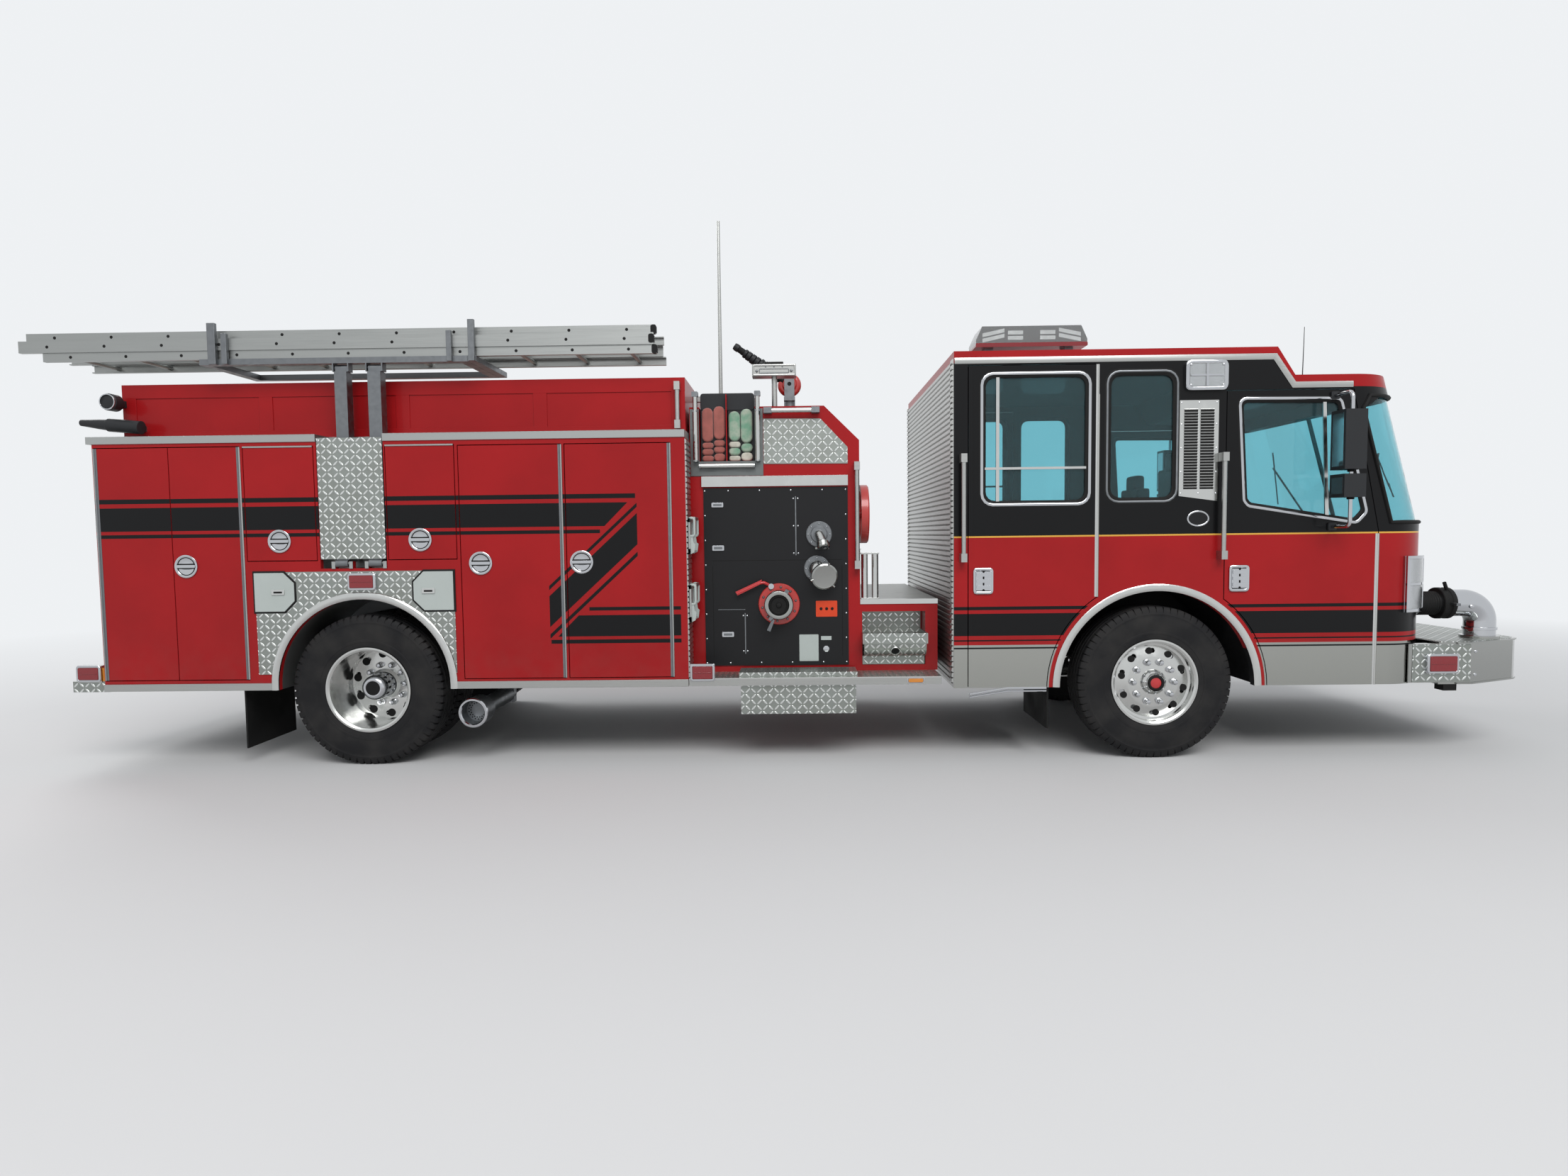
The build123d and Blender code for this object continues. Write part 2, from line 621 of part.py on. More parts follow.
def cab_lamps():
    """Headlamp housings at the front corners and the two roof light bars."""
    lamp = block(CAB_NOSE - 245, CAB_NOSE + 60, CAB_SIDE + 20, CAB_SIDE + 174, 1000, 1385)
    lamp -= cab_form(0, CAB_BOTTOM, CAB_LOW_ROOF)
    start = CAB_BACK + 170
    end = start + 750
    low = CAB_HIGH_ROOF + 50
    bar_points = [(start, low), (start + 40, low + 130), (end - 40, low + 130), (end, low)]
    outer = CAB_SIDE + 90
    bar = side_plate(bar_points, outer, outer + 250)
    for x in (start + 100, end - 100):
        bar += block(x - 30, x + 30, outer + 70, outer + 180, CAB_HIGH_ROOF, low + 2)
    return lamp + mirrored(lamp) + bar + mirrored(bar)


# Bumper and front suction

BUMPER_BOTTOM = 500
BUMPER_TOP = 790
BUMPER_SIDE = CAB_SIDE + 20
SUCTION_Y = CAB_SIDE + 260
SUCTION_Z = 1040
SUCTION_RADIUS = 95
SUCTION_HOSE = 80
ELBOW_X = FRONT_AXLE + 2380
ELBOW_BEND = 130
COUPLING_X = FRONT_AXLE + 2110
FOOT_RADIUS = 118
FOOT_TOP = BUMPER_TOP + 20


def front_bumper():
    """Extended bumper: a flat box behind, swept in to a narrower front."""
    rear = FRONT_AXLE + 1725
    knee = FRONT_AXLE + 2150
    front = FRONT_AXLE + FRONT_OVERHANG
    side = -BUMPER_SIDE
    deck = BUMPER_TOP - 10
    outline = [
        (CAB_NOSE + 10, -side), (knee, -side), (front - 60, 190 - side), (front, 250 - side),
        (front, side - 250), (front - 60, side - 190), (knee, side), (CAB_NOSE + 10, side),
    ]
    piece = plan_plate(outline, BUMPER_BOTTOM, BUMPER_TOP)
    piece -= block(CAB_NOSE, front - 30, 300 - side, side - 300, 0, deck)
    piece += both_sides(RAIL_FRONT, front - 29, -RAIL_OUTER, RAIL_WIDTH - RAIL_OUTER,
                        RAIL_BOTTOM - 40, deck + 1)
    piece += block(CAB_NOSE + 10, CAB_NOSE + 60, 299 - side, side - 299, RAIL_BOTTOM - 40, deck + 1)
    for turn in (-1, 1):
        piece += block(rear, CAB_NOSE + 11, turn * side, turn * (side - 50), BUMPER_BOTTOM + 12, deck)
    piece -= cab_form(-DOOR_GAP, CAB_BOTTOM - 100, CAB_LOW_ROOF)
    piece += rod((ELBOW_X, SUCTION_Y, BUMPER_TOP - 1), (ELBOW_X, SUCTION_Y, FOOT_TOP), FOOT_RADIUS)
    return piece


def front_suction():
    """Suction pipe from the cab front to an elbow that stands on the bumper's foot ring."""
    y, z, bend = SUCTION_Y, SUCTION_Z, ELBOW_BEND
    short = bend * (1 - math.sqrt(0.5))
    path = Line((COUPLING_X, y, z), (ELBOW_X - bend, y, z))
    path += ThreePointArc((ELBOW_X - bend, y, z), (ELBOW_X - short, y, z - short),
                          (ELBOW_X, y, z - bend))
    path += Line((ELBOW_X, y, z - bend), (ELBOW_X, y, FOOT_TOP))
    section = Plane(origin=(COUPLING_X, y, z), z_dir=(1, 0, 0)) * Circle(SUCTION_RADIUS)
    elbow = sweep(section, path=path)
    hose = rod((CAB_NOSE - 60, y, z), (COUPLING_X + 1, y, z), SUCTION_HOSE)
    hose -= cab_form(0, CAB_BOTTOM, CAB_LOW_ROOF)
    return elbow + hose


# Body

REAR_PAIR = (-1810, -810, 617, 2220)
UPPER_REAR = (-780, -300, 1440, 2215)
UPPER_FRONT = (200, 668, 1440, 2215)
LOWER_A = (700, 1400, 610, 2210)
LOWER_B = (1430, 2145, 610, 2210)
UPPER_WIDE = (-780, 668, 1440, 2215)
RACK_CHANNEL = (-276, 186)


def opening(bay, grow, y0, y1):
    """A compartment's rectangle, carried across from y0 to y1."""
    x0, x1, z0, z1 = bay
    return block(REAR_AXLE + x0 - grow, REAR_AXLE + x1 + grow, y0, y1, z0 - grow, z1 + grow)


def body_side(bays):
    """One side of the body: a hollow locker row with a wheel well."""
    body = block(BODY_REAR, BODY_FRONT, BODY_SIDE, BODY_INNER, BODY_BOTTOM, BODY_TOP)
    body += block(BODY_REAR - 35, BODY_FRONT, BODY_SIDE - TRIM_PROUD, BED_SIDE,
                  BODY_TOP, BODY_TOP + TRIM_HEIGHT)
    body += block(BODY_REAR, BODY_FRONT, BED_SIDE, BODY_INNER, BODY_TOP, BODY_TOP + 2)
    for bay in bays:
        body -= opening(bay, DOOR_GAP, BODY_SIDE - 1, BODY_INNER - BODY_WALL)
    body -= disc(REAR_AXLE, BODY_ARCH_Z, BODY_ARCH_RADIUS, BODY_SIDE - 1, BODY_INNER + 1)
    body -= block(REAR_AXLE - BODY_ARCH_RADIUS, REAR_AXLE + BODY_ARCH_RADIUS,
                  BODY_SIDE - 1, BODY_INNER + 1, 0, BODY_ARCH_Z)
    return body


def hinge_front(bay):
    return REAR_AXLE + bay[1] + DOOR_GAP / 2


def hinge_rear(bay):
    return REAR_AXLE + bay[0] - DOOR_GAP / 2


def upright_door(bay, hinge_x):
    """A locker door hung on an upright edge."""
    door = opening(bay, 0, BODY_SIDE, BODY_SIDE + DOOR_THICKNESS)
    return door + hinge_barrel(hinge_x, BODY_SIDE, bay[2], bay[3])


def lift_door(bay):
    """A locker door hung on its top edge."""
    door = opening(bay, 0, BODY_SIDE, BODY_SIDE + DOOR_THICKNESS)
    return door + lift_barrel(bay, 0)


def lift_barrel(bay, grow):
    x0, x1, _, z1 = bay
    z = z1 + DOOR_GAP / 2
    return rod((REAR_AXLE + x0 - grow, BODY_SIDE, z), (REAR_AXLE + x1 + grow, BODY_SIDE, z),
               HINGE_RADIUS + grow)


REAR_LEAF = (REAR_PAIR[0], -1300 - DOOR_GAP / 2, REAR_PAIR[2], REAR_PAIR[3])
FRONT_LEAF = (-1300 + DOOR_GAP / 2, REAR_PAIR[1], REAR_PAIR[2], REAR_PAIR[3])


def common_grooves():
    """Hinge grooves that both sides of the body have."""
    cuts = hinge_barrel(hinge_rear(REAR_LEAF), BODY_SIDE, REAR_LEAF[2], REAR_LEAF[3], RUN_FIT)
    for bay in (FRONT_LEAF, LOWER_A, LOWER_B):
        cuts += hinge_barrel(hinge_front(bay), BODY_SIDE, bay[2], bay[3], RUN_FIT)
    return cuts


def body_right():
    body = body_side([REAR_PAIR, UPPER_REAR, UPPER_FRONT, LOWER_A, LOWER_B])
    body -= common_grooves()
    body -= lift_barrel(UPPER_REAR, RUN_FIT)
    body -= lift_barrel(UPPER_FRONT, RUN_FIT)
    x0, x1 = RACK_CHANNEL
    body -= block(REAR_AXLE + x0, REAR_AXLE + x1, BODY_SIDE - 20, BODY_SIDE + 180,
                  RACK_HINGE_Z - 34, BODY_TOP + TRIM_HEIGHT + 1)
    return body + rack_lugs()


def body_left():
    body = body_side([REAR_PAIR, UPPER_WIDE, LOWER_A, LOWER_B])
    body -= common_grooves()
    body -= lift_barrel(UPPER_WIDE, RUN_FIT)
    return mirrored(body)


# Hose bed and tank

def hose_bed():
    """Hose bed walls on the body tops, with its floor sunk between them."""
    rear = BODY_REAR + 55
    front = BODY_FRONT - 20
    base = BODY_TOP + TRIM_HEIGHT
    wall = block(rear, front, BED_SIDE, BED_SIDE + BED_WALL, base, BED_TOP)
    wall += block(BODY_REAR + 20, front, BED_SIDE, BODY_INNER, BODY_TOP + 2, base)
    bed = wall + mirrored(wall)
    bed += block(front - BED_WALL, front, BED_SIDE + BED_WALL, -BED_SIDE - BED_WALL, base, BED_TOP)
    bed += block(BODY_REAR + 20, front, BODY_INNER, -BODY_INNER, BED_FLOOR, BED_FLOOR + 40)
    bed += both_sides(BODY_REAR + 20, front, BODY_INNER, BODY_INNER + 30, BED_FLOOR + 39, base)
    bed += block(BODY_REAR + 20, BODY_REAR + 50, BODY_INNER, -BODY_INNER, BODY_BOTTOM + 80,
                 BED_FLOOR + 1)
    bed += block(front - 30, front, BODY_INNER + 29, -BODY_INNER - 29, BED_FLOOR + 39, base + 1)
    return bed


def water_tank():
    """Water tank under the hose bed, on the frame rails."""
    side = BODY_INNER + 20
    return block(BODY_REAR + 90, BODY_FRONT - 60, side, -side, RAIL_TOP, BED_FLOOR)


# Steps

def step_boards():
    """Tailboard and the running boards beside the pump."""
    side = BODY_SIDE + 40
    tail = block(BODY_REAR - 260, BODY_REAR, side, -side, 530, 606)
    boards = both_sides(BODY_FRONT + 3, CAB_BACK - 88, BODY_SIDE, PUMP_SIDE + 60, 540, PUMP_BOTTOM)
    return tail + boards


# Pump house

def pump_house():
    """Pump module with its crosslay tray and the low platform ahead of it."""
    chamfer = 248
    outline = [
        (PUMP_REAR, PUMP_BOTTOM), (PUMP_REAR, PUMP_TOP), (PUMP_FRONT - chamfer, PUMP_TOP),
        (PUMP_FRONT, PUMP_TOP - chamfer + 3), (PUMP_FRONT, PLATFORM_TOP),
        (PLATFORM_FRONT, PLATFORM_TOP), (PLATFORM_FRONT, PUMP_BOTTOM),
    ]
    house = side_plate(outline, PUMP_SIDE, -PUMP_SIDE)
    tray = (PUMP_REAR + 69, PUMP_REAR + 464)
    house -= block(tray[0], tray[1], PUMP_SIDE - 1, 1 - PUMP_SIDE, 2105, PUMP_TOP + 1)
    house += block(PUMP_REAR + 260, PUMP_REAR + 266, PUMP_SIDE, -PUMP_SIDE, 2100, PUMP_TOP + 90)
    house -= block(PUMP_REAR - 1, PLATFORM_FRONT + 1, -RAIL_OUTER - 10, RAIL_OUTER + 10,
                   PUMP_BOTTOM - 1, RAIL_TOP)
    step = block(PUMP_FRONT + 14, PUMP_FRONT + 466, PUMP_SIDE - 1, PUMP_SIDE + 200, 637, 1020)
    house -= step
    house -= mirrored(step)
    house -= rod((LIGHT_X, LIGHT_Y, 1880), (LIGHT_X, LIGHT_Y, PUMP_TOP + 1), LIGHT_POLE + RUN_FIT)
    house -= rod((GUN_X, 0, PUMP_TOP - 70), (GUN_X, 0, PUMP_TOP + 1), GUN_SPIGOT + RUN_FIT)
    return house


LIGHT_X = REAR_AXLE + 2856
LIGHT_Y = -800
LIGHT_POLE = 20


def scene_light():
    """Flat flood lamp on a pole that slides up out of the pump house."""
    head = block(LIGHT_X - 158, LIGHT_X + 158, LIGHT_Y - 60, LIGHT_Y + 60, 2716, 2800)
    return head + rod((LIGHT_X, LIGHT_Y, 1890), (LIGHT_X, LIGHT_Y, 2717), LIGHT_POLE)


def pump_panels():
    """Panels on both sides of the pump house."""
    panel = block(PUMP_REAR + 92, PUMP_FRONT - 84, PUMP_SIDE - 8, PUMP_SIDE, 640, 1915)
    panel += block(PUMP_REAR + 82, PUMP_FRONT - 84, PUMP_SIDE - 22, PUMP_SIDE, 1925, 1995)
    return panel + mirrored(panel)


def pump_fittings():
    """Large intake and two outlets on each side of the pump."""
    y = PUMP_SIDE - 8
    piece = disc(PUMP_REAR + 624, 1083, 140, y, y - 20)
    piece += disc(PUMP_REAR + 624, 1083, 95, y - 19, y - 150)
    for x, z in ((914, 1578), (897, 1334)):
        x += PUMP_REAR
        piece += disc(x, z, 92, y, y - 14)
        piece += disc(x, z, 60, y - 13, y - 46)
        piece += rod((x, y - 32, z), (x + 25, y - 140, z - 70), 48)
    return piece + mirrored(piece)


def hose_packs():
    """Folded hoses in the crosslay tray."""
    packs = block(PUMP_REAR + 85, PUMP_REAR + 252, PUMP_SIDE + 20, -PUMP_SIDE - 20, 2105, 2500)
    packs += block(PUMP_REAR + 276, PUMP_REAR + 450, PUMP_SIDE + 20, -PUMP_SIDE - 20, 2105, 2500)
    return packs


GUN_X = REAR_AXLE + 2960
GUN_PIVOT_Z = 2790
GUN_SPIGOT = 30


def gun_base():
    """Turning foot of the deck gun, with two cheeks for the barrel."""
    foot = rod((GUN_X, 0, PUMP_TOP + RUN_FIT), (GUN_X, 0, PUMP_TOP + 120), 70)
    foot += rod((GUN_X, 0, PUMP_TOP - 60), (GUN_X, 0, PUMP_TOP + 1), GUN_SPIGOT)
    foot += rod((GUN_X, 0, PUMP_TOP + 119), (GUN_X, 0, PUMP_TOP + 190), 45)
    foot += block(GUN_X - 45, GUN_X + 45, -75, 75, PUMP_TOP + 170, PUMP_TOP + 200)
    foot += both_sides(GUN_X - 40, GUN_X + 40, -75, -52, PUMP_TOP + 199, GUN_PIVOT_Z + 40)
    foot -= disc(GUN_X, GUN_PIVOT_Z, 16 + RUN_FIT, -76, 76)
    return foot


def gun_barrel():
    """Deck gun barrel, raised and pointed to the rear."""
    lift = math.radians(36)
    along = (-math.cos(lift), math.sin(lift))
    piece = disc(GUN_X, GUN_PIVOT_Z, 16, -75, 75)
    piece += disc(GUN_X, GUN_PIVOT_Z, 44, -46, 46)
    mid = (GUN_X + along[0] * 230, 0, GUN_PIVOT_Z + along[1] * 230)
    tip = (GUN_X + along[0] * 540, 0, GUN_PIVOT_Z + along[1] * 540)
    piece += rod((GUN_X, 0, GUN_PIVOT_Z), mid, 36)
    piece += cone(mid, tip, 36, 24)
    return piece


RAILS = (
    # x, wall y, low z, high z, standoff of the upright grab rails
    (BODY_FRONT - 70, BED_SIDE, 2330, 2655, 45),
    (PUMP_FRONT - 20, PUMP_SIDE, 1330, 2086, 55),
    (CAB_BACK + 56, CAB_SIDE, 1378, 2108, 60),
    (FRONT_DOOR[0] - 38, CAB_SIDE, 1378, 2095, 60),
)
RAIL_TUBE = 16
RAIL_CLAMP = (20, 58)


def upright_rail(x, wall, low, high, standoff):
    """A straight grab rail held off its wall by a square clamp at each end."""
    y = wall - standoff
    half, tall = RAIL_CLAMP
    rail = rod((x, y, low + 1), (x, y, high - 1), RAIL_TUBE)
    for bottom in (low, high - tall):
        rail += block(x - half, x + half, y - half, wall, bottom, bottom + tall)
    return rail


def mast_and_rails():
    """Whip mast on the bed's front wall, and the grab rails."""
    mast_x = BODY_FRONT + 175
    mast_y = -300
    piece = block(BODY_FRONT - 20, mast_x + 30, mast_y - 30, mast_y + 30, 2620, 2660)
    piece += cone((mast_x, mast_y, 2600), (mast_x, mast_y, 4000), 16, 12)
    for row in RAILS:
        rail = upright_rail(*row)
        piece += rail
        piece += mirrored(rail)
    return piece


# Ladder rack

ARM_X = ((-165, -80), (65, 155))
RACK_PIN = 12
RACK_EYE = 26
CRADLE_PIN = 14
CRADLE_EYE = 23
CRADLE_BAR = 40
EAR = 8


def rack_lugs():
    """Lugs and hinge pins at the foot of the channel, for the rack's arms."""
    lugs = []
    for x0, x1 in ARM_X:
        x0, x1 = REAR_AXLE + x0, REAR_AXLE + x1
        lugs.append(rod((x0 - 30, RACK_HINGE_Y, RACK_HINGE_Z), (x1 + 30, RACK_HINGE_Y, RACK_HINGE_Z),
                        RACK_PIN))
        for low, high in ((x0 - 30, x0 - DOOR_GAP), (x1 + DOOR_GAP, x1 + 30)):
            lugs.append(block(low, high, RACK_HINGE_Y - 14, RACK_HINGE_Y + 35, RACK_HINGE_Z - 35,
                              RACK_HINGE_Z + 14))
    return lugs


def ladder_arms():
    """Two posts and the plate between them, hinged at the foot."""
    x0, x1 = RACK_CHANNEL
    arms = block(REAR_AXLE + x0 + DOOR_GAP, REAR_AXLE + x1 - DOOR_GAP, BODY_SIDE, BODY_SIDE + 6,
                 RACK_HINGE_Z + RACK_EYE + 4, 2275)
    for low, high in ARM_X:
        low, high = REAR_AXLE + low, REAR_AXLE + high
        arms += block(low, high, POST_OUTER, POST_INNER, RACK_HINGE_Z + 10, RACK_PIVOT_Z - 28)
        arms += block(low, high, RACK_PIVOT_Y - CRADLE_EYE, RACK_PIVOT_Y + CRADLE_EYE,
                      RACK_PIVOT_Z - 29, RACK_PIVOT_Z)
        arms += rod((low, RACK_PIVOT_Y, RACK_PIVOT_Z), (high, RACK_PIVOT_Y, RACK_PIVOT_Z), CRADLE_EYE)
        arms += rod((low, RACK_HINGE_Y, RACK_HINGE_Z), (high, RACK_HINGE_Y, RACK_HINGE_Z), RACK_EYE)
        arms += block(low, high, RACK_HINGE_Y, POST_OUTER + 1, RACK_HINGE_Z + 10, RACK_HINGE_Z + 60)
        for z in (1800, 2150):
            arms += block(low, high, BODY_SIDE + 5, POST_OUTER + 1, z, z + 40)
        arms -= rod((low - 1, RACK_HINGE_Y, RACK_HINGE_Z), (high + 1, RACK_HINGE_Y, RACK_HINGE_Z),
                    RACK_PIN + RUN_FIT)
        arms -= rod((low - 1, RACK_PIVOT_Y, RACK_PIVOT_Z), (high + 1, RACK_PIVOT_Y, RACK_PIVOT_Z),
                    CRADLE_PIN + RUN_FIT)
    return arms


def ladder_cradle():
    """Frame that carries the ladders, with ears pinned on the posts' tops."""
    x0, x1 = REAR_AXLE - 1100, REAR_AXLE + 760
    z = RACK_PIVOT_Z + CRADLE_EYE + DOOR_GAP
    near = (RACK_PIVOT_Y - 35, RACK_PIVOT_Y + 25)
    cradle = block(x0, x1, *near, z, z + CRADLE_BAR)
    cradle += block(x0, x1, near[0] + 605, near[0] + 655, z, z + CRADLE_BAR)
    for x in (x0, x1 - 60):
        cradle += block(x, x + 60, near[1] - 1, near[0] + 606, z, z + CRADLE_BAR)
    for low, high in ARM_X:
        low, high = REAR_AXLE + low - DOOR_GAP, REAR_AXLE + high + DOOR_GAP
        for start, end in ((low - EAR, low), (high, high + EAR)):
            cradle += block(start, end, *near, RACK_PIVOT_Z - 27, z + 1)
        cradle += rod((low - EAR, RACK_PIVOT_Y, RACK_PIVOT_Z), (high + EAR, RACK_PIVOT_Y, RACK_PIVOT_Z),
                      CRADLE_PIN)
    return cradle


def ladder(x0, x1, y0, z0, depth, spacing):
    """One ladder lying flat, with its rungs across."""
    wide = 30
    rails = block(x0, x1, y0, y0 + wide, z0, z0 + depth)
    rails += block(x0, x1, y0 + spacing, y0 + spacing + wide, z0, z0 + depth)
    count = 6
    for i in range(count):
        x = x0 + (x1 - x0) * (i + 0.5) / count
        rails += disc(x, z0 + depth / 2, 15, y0 + 1, y0 + spacing + 1)
    return rails


def ladders():
    """Two-section ladder with a roof ladder beneath it."""
    top = RACK_PIVOT_Z + CRADLE_EYE + DOOR_GAP + CRADLE_BAR
    near = RACK_PIVOT_Y - 30
    roof = ladder(REAR_AXLE - 2200, REAR_AXLE + 2060, near + 10, top, 60, LADDER_SPACING)
    bed = ladder(REAR_AXLE - LADDER_OVERHANG, REAR_AXLE + 2040, near, top + 60, 80, LADDER_SPACING)
    fly = ladder(REAR_AXLE + 25 - LADDER_OVERHANG, REAR_AXLE + 2050, near + 40, top + 140, 60,
                 LADDER_SPACING - 60)
    return roof + bed + fly


PIECES = {
    "frame_rails": frame_rails,
    "front_axle": front_axle,
    "rear_axle": rear_axle,
    "engine_block": engine_block,
    "exhaust": exhaust,
    "front_bumper": front_bumper,
    "front_suction": front_suction,
    "cab_shell": cab_shell,
    "cab_roof": cab_roof,
    "cab_glass": cab_glass,
    "cab_interior": cab_interior,
    "cab_lamps": cab_lamps,
    "body_right": body_right,
    "body_left": body_left,
    "hose_bed": hose_bed,
    "water_tank": water_tank,
    "step_boards": step_boards,
    "pump_house": pump_house,
    "pump_panels": pump_panels,
    "pump_fittings": pump_fittings,
    "hose_packs": hose_packs,
    "scene_light": scene_light,
    "gun_base": gun_base,
    "gun_barrel": gun_barrel,
    "mast_and_rails": mast_and_rails,
    "ladder_arms": ladder_arms,
    "ladder_cradle": ladder_cradle,
    "ladders": ladders,
    "overwheel_door_left": lambda: mirrored(lift_door(UPPER_WIDE)),
    "upper_rear_door_right": lambda: lift_door(UPPER_REAR),
    "upper_front_door_right": lambda: lift_door(UPPER_FRONT),
}

PAIRS = {
    "front_rim": front_rim,
    "front_tyre": front_tyre,
    "rear_rims": rear_rims,
    "rear_tyres": rear_tyres,
    "knuckle": knuckle,
    "rear_cab_door": rear_cab_door,
    "front_cab_door": front_cab_door,
    "mirrors": mirrors,
    "rear_cab_window": lambda: pane(rear_window(0)),
    "front_cab_window": lambda: pane(front_window()),
    "rear_leaf": lambda: upright_door(REAR_LEAF, hinge_rear(REAR_LEAF)),
    "front_leaf": lambda: upright_door(FRONT_LEAF, hinge_front(FRONT_LEAF)),
    "door_a": lambda: upright_door(LOWER_A, hinge_front(LOWER_A)),
    "door_b": lambda: upright_door(LOWER_B, hinge_front(LOWER_B)),
}


def main():
    os.makedirs("parts", exist_ok=True)
    for name, make in PIECES.items():
        save(make(), name)
    for name, make in PAIRS.items():
        right = make()
        save(right, name + "_right")
        save(mirrored(right), name + "_left")


main()
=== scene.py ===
"""Finish of a fire engine: tyres, trim, lamps, hoses, seats and paint, set on its fixed frame.

Lengths are metres. Shapes are worked out forward from the rear axle, and piece() sets them into
the frame. The right side of the truck is at negative y.
"""

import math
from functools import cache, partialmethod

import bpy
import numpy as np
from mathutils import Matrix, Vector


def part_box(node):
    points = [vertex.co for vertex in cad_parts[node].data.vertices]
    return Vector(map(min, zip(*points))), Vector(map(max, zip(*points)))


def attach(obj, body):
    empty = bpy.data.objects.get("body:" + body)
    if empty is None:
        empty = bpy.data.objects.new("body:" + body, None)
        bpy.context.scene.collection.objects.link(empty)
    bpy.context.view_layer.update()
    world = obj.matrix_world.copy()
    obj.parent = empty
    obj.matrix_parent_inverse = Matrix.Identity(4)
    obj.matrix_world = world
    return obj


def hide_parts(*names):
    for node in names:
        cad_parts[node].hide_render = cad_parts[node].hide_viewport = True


bl_info = {
    "name": "Fire engine finish",
    "version": (1, 0, 0),
    "blender": (4, 5, 0),
    "location": "View3D > Sidebar > Fire engine",
    "description": "Dresses the frame of a fire engine with its trim and finishes",
    "category": "Object",
}

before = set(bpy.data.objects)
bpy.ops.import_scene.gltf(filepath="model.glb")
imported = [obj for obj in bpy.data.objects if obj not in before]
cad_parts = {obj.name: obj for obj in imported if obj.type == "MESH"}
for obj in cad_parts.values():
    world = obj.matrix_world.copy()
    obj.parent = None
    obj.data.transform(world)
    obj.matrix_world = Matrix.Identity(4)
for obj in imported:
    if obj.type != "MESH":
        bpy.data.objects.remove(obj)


def node_box(name):
    """Lowest and highest corner of a node as arrays."""
    low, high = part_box(name)
    return np.array(low), np.array(high)


def node_centre(name):
    """Middle of a node's box."""
    return sum(node_box(name)) / 2


REAR_AXLE = node_centre("rear_rims_right")[0]
WHEELBASE = node_centre("front_rim_right")[0] - REAR_AXLE
HUB_Z = node_centre("front_rim_right")[2]
TYRE_RADIUS = node_box("front_tyre_right")[1][2] - HUB_Z
FRONT_TYRE_Y = node_centre("front_tyre_right")[1]
TYRE_HALF = FRONT_TYRE_Y - node_box("front_tyre_right")[0][1]
REAR_TYRE_Y = node_box("rear_tyres_right")[0][1] + TYRE_HALF
INNER_TYRE_Y = node_box("rear_tyres_right")[1][1] - TYRE_HALF
BODY_SIDE = node_box("rear_leaf_right")[0][1] + 0.007
CAB_SIDE = node_box("cab_roof")[0][1]
CAB_BACK = node_box("cab_roof")[0][0] - REAR_AXLE
CAB_NOSE = node_box("cab_shell")[1][0] - REAR_AXLE
PUMP_SIDE = node_box("pump_panels")[0][1] + 0.022
BED_SIDE = BODY_SIDE + 0.24


# Settings

def colour_setting(name, description, *colour):
    """A setting for a colour."""
    return bpy.props.FloatVectorProperty(name=name, description=description, subtype="COLOR",
                                         size=4, min=0.0, max=1.0, default=(*colour, 1.0))


class PaintSettings(bpy.types.PropertyGroup):
    """Colours of the paint and the lenses."""
    red: colour_setting("Red paint", "Colour of the body and lower cab", 0.33, 0.008, 0.01)
    black: colour_setting("Black paint", "Colour of the upper cab and the stripes", 0.0035, 0.0035, 0.004)
    gold: colour_setting("Gold line", "Colour of the line at the cab's belt", 0.62, 0.34, 0.06)
    lens_red: colour_setting("Red lens", "Colour of the marker and tail lamps", 0.26, 0.006, 0.012)
    lens_amber: colour_setting("Amber lens", "Colour of the side markers", 0.75, 0.26, 0.02)


class WheelSettings(bpy.types.PropertyGroup):
    """Sizes of the tyres' tread and of the wheel nuts."""
    lugs: bpy.props.IntProperty(
        name="Shoulder lugs", description="Blocks round each shoulder of a tyre",
        default=64, min=20, max=90)
    groove: bpy.props.FloatProperty(
        name="Groove depth", description="Depth of the tread's grooves", unit="LENGTH",
        default=0.013, min=0.0, max=0.02)
    nut_circle: bpy.props.FloatProperty(
        name="Nut circle", description="Radius of the circle of wheel nuts", unit="LENGTH",
        default=0.1425, min=0.1, max=0.16)


class StageSettings(bpy.types.PropertyGroup):
    """Light and floor of the studio."""
    floor: colour_setting("Floor", "Colour of the floor", 0.58, 0.58, 0.58)
    sky: bpy.props.FloatProperty(
        name="Sky light", description="Strength of the even light from all round",
        default=0.6, min=0.0, max=2.0)
    key: bpy.props.FloatProperty(
        name="Key light", description="Power of the large soft lamp", subtype="POWER",
        default=3000.0, min=0.0)


# Shapes: each is an array of points and a list of arrays of faces

RIGHT = (0, -1, 0)


def fan_volume(points, faces):
    """Six times the volume between the faces and the origin, each split into a fan."""
    corners = points[faces]
    spokes = np.cross(corners[:, 1:-1], corners[:, 2:])
    return float((corners[:, :1] * spokes).sum())


def outward(points, faces):
    """The same closed shape with its faces turned outward."""
    if sum(fan_volume(points - points.mean(0), group) for group in faces) < 0:
        faces = [group[:, ::-1] for group in faces]
    return points, faces


def loft(rings, closed=False):
    """Quads join each ring to the next; flat ends close the skin, or its last ring joins its first."""
    rings = np.asarray(rings, float)
    rows, columns = rings.shape[:2]
    i = np.arange(rows if closed else rows - 1)[:, None]
    j = np.arange(columns)[None, :]
    ahead, beside = (i + 1) % rows, (j + 1) % columns
    quads = [i * columns + j, i * columns + beside, ahead * columns + beside, ahead * columns + j]
    faces = [np.stack(quads, -1).reshape(-1, 4)]
    if not closed:
        faces += [np.arange(columns)[None, ::-1], np.arange(columns)[None] + (rows - 1) * columns]
    return outward(rings.reshape(-1, 3), faces)


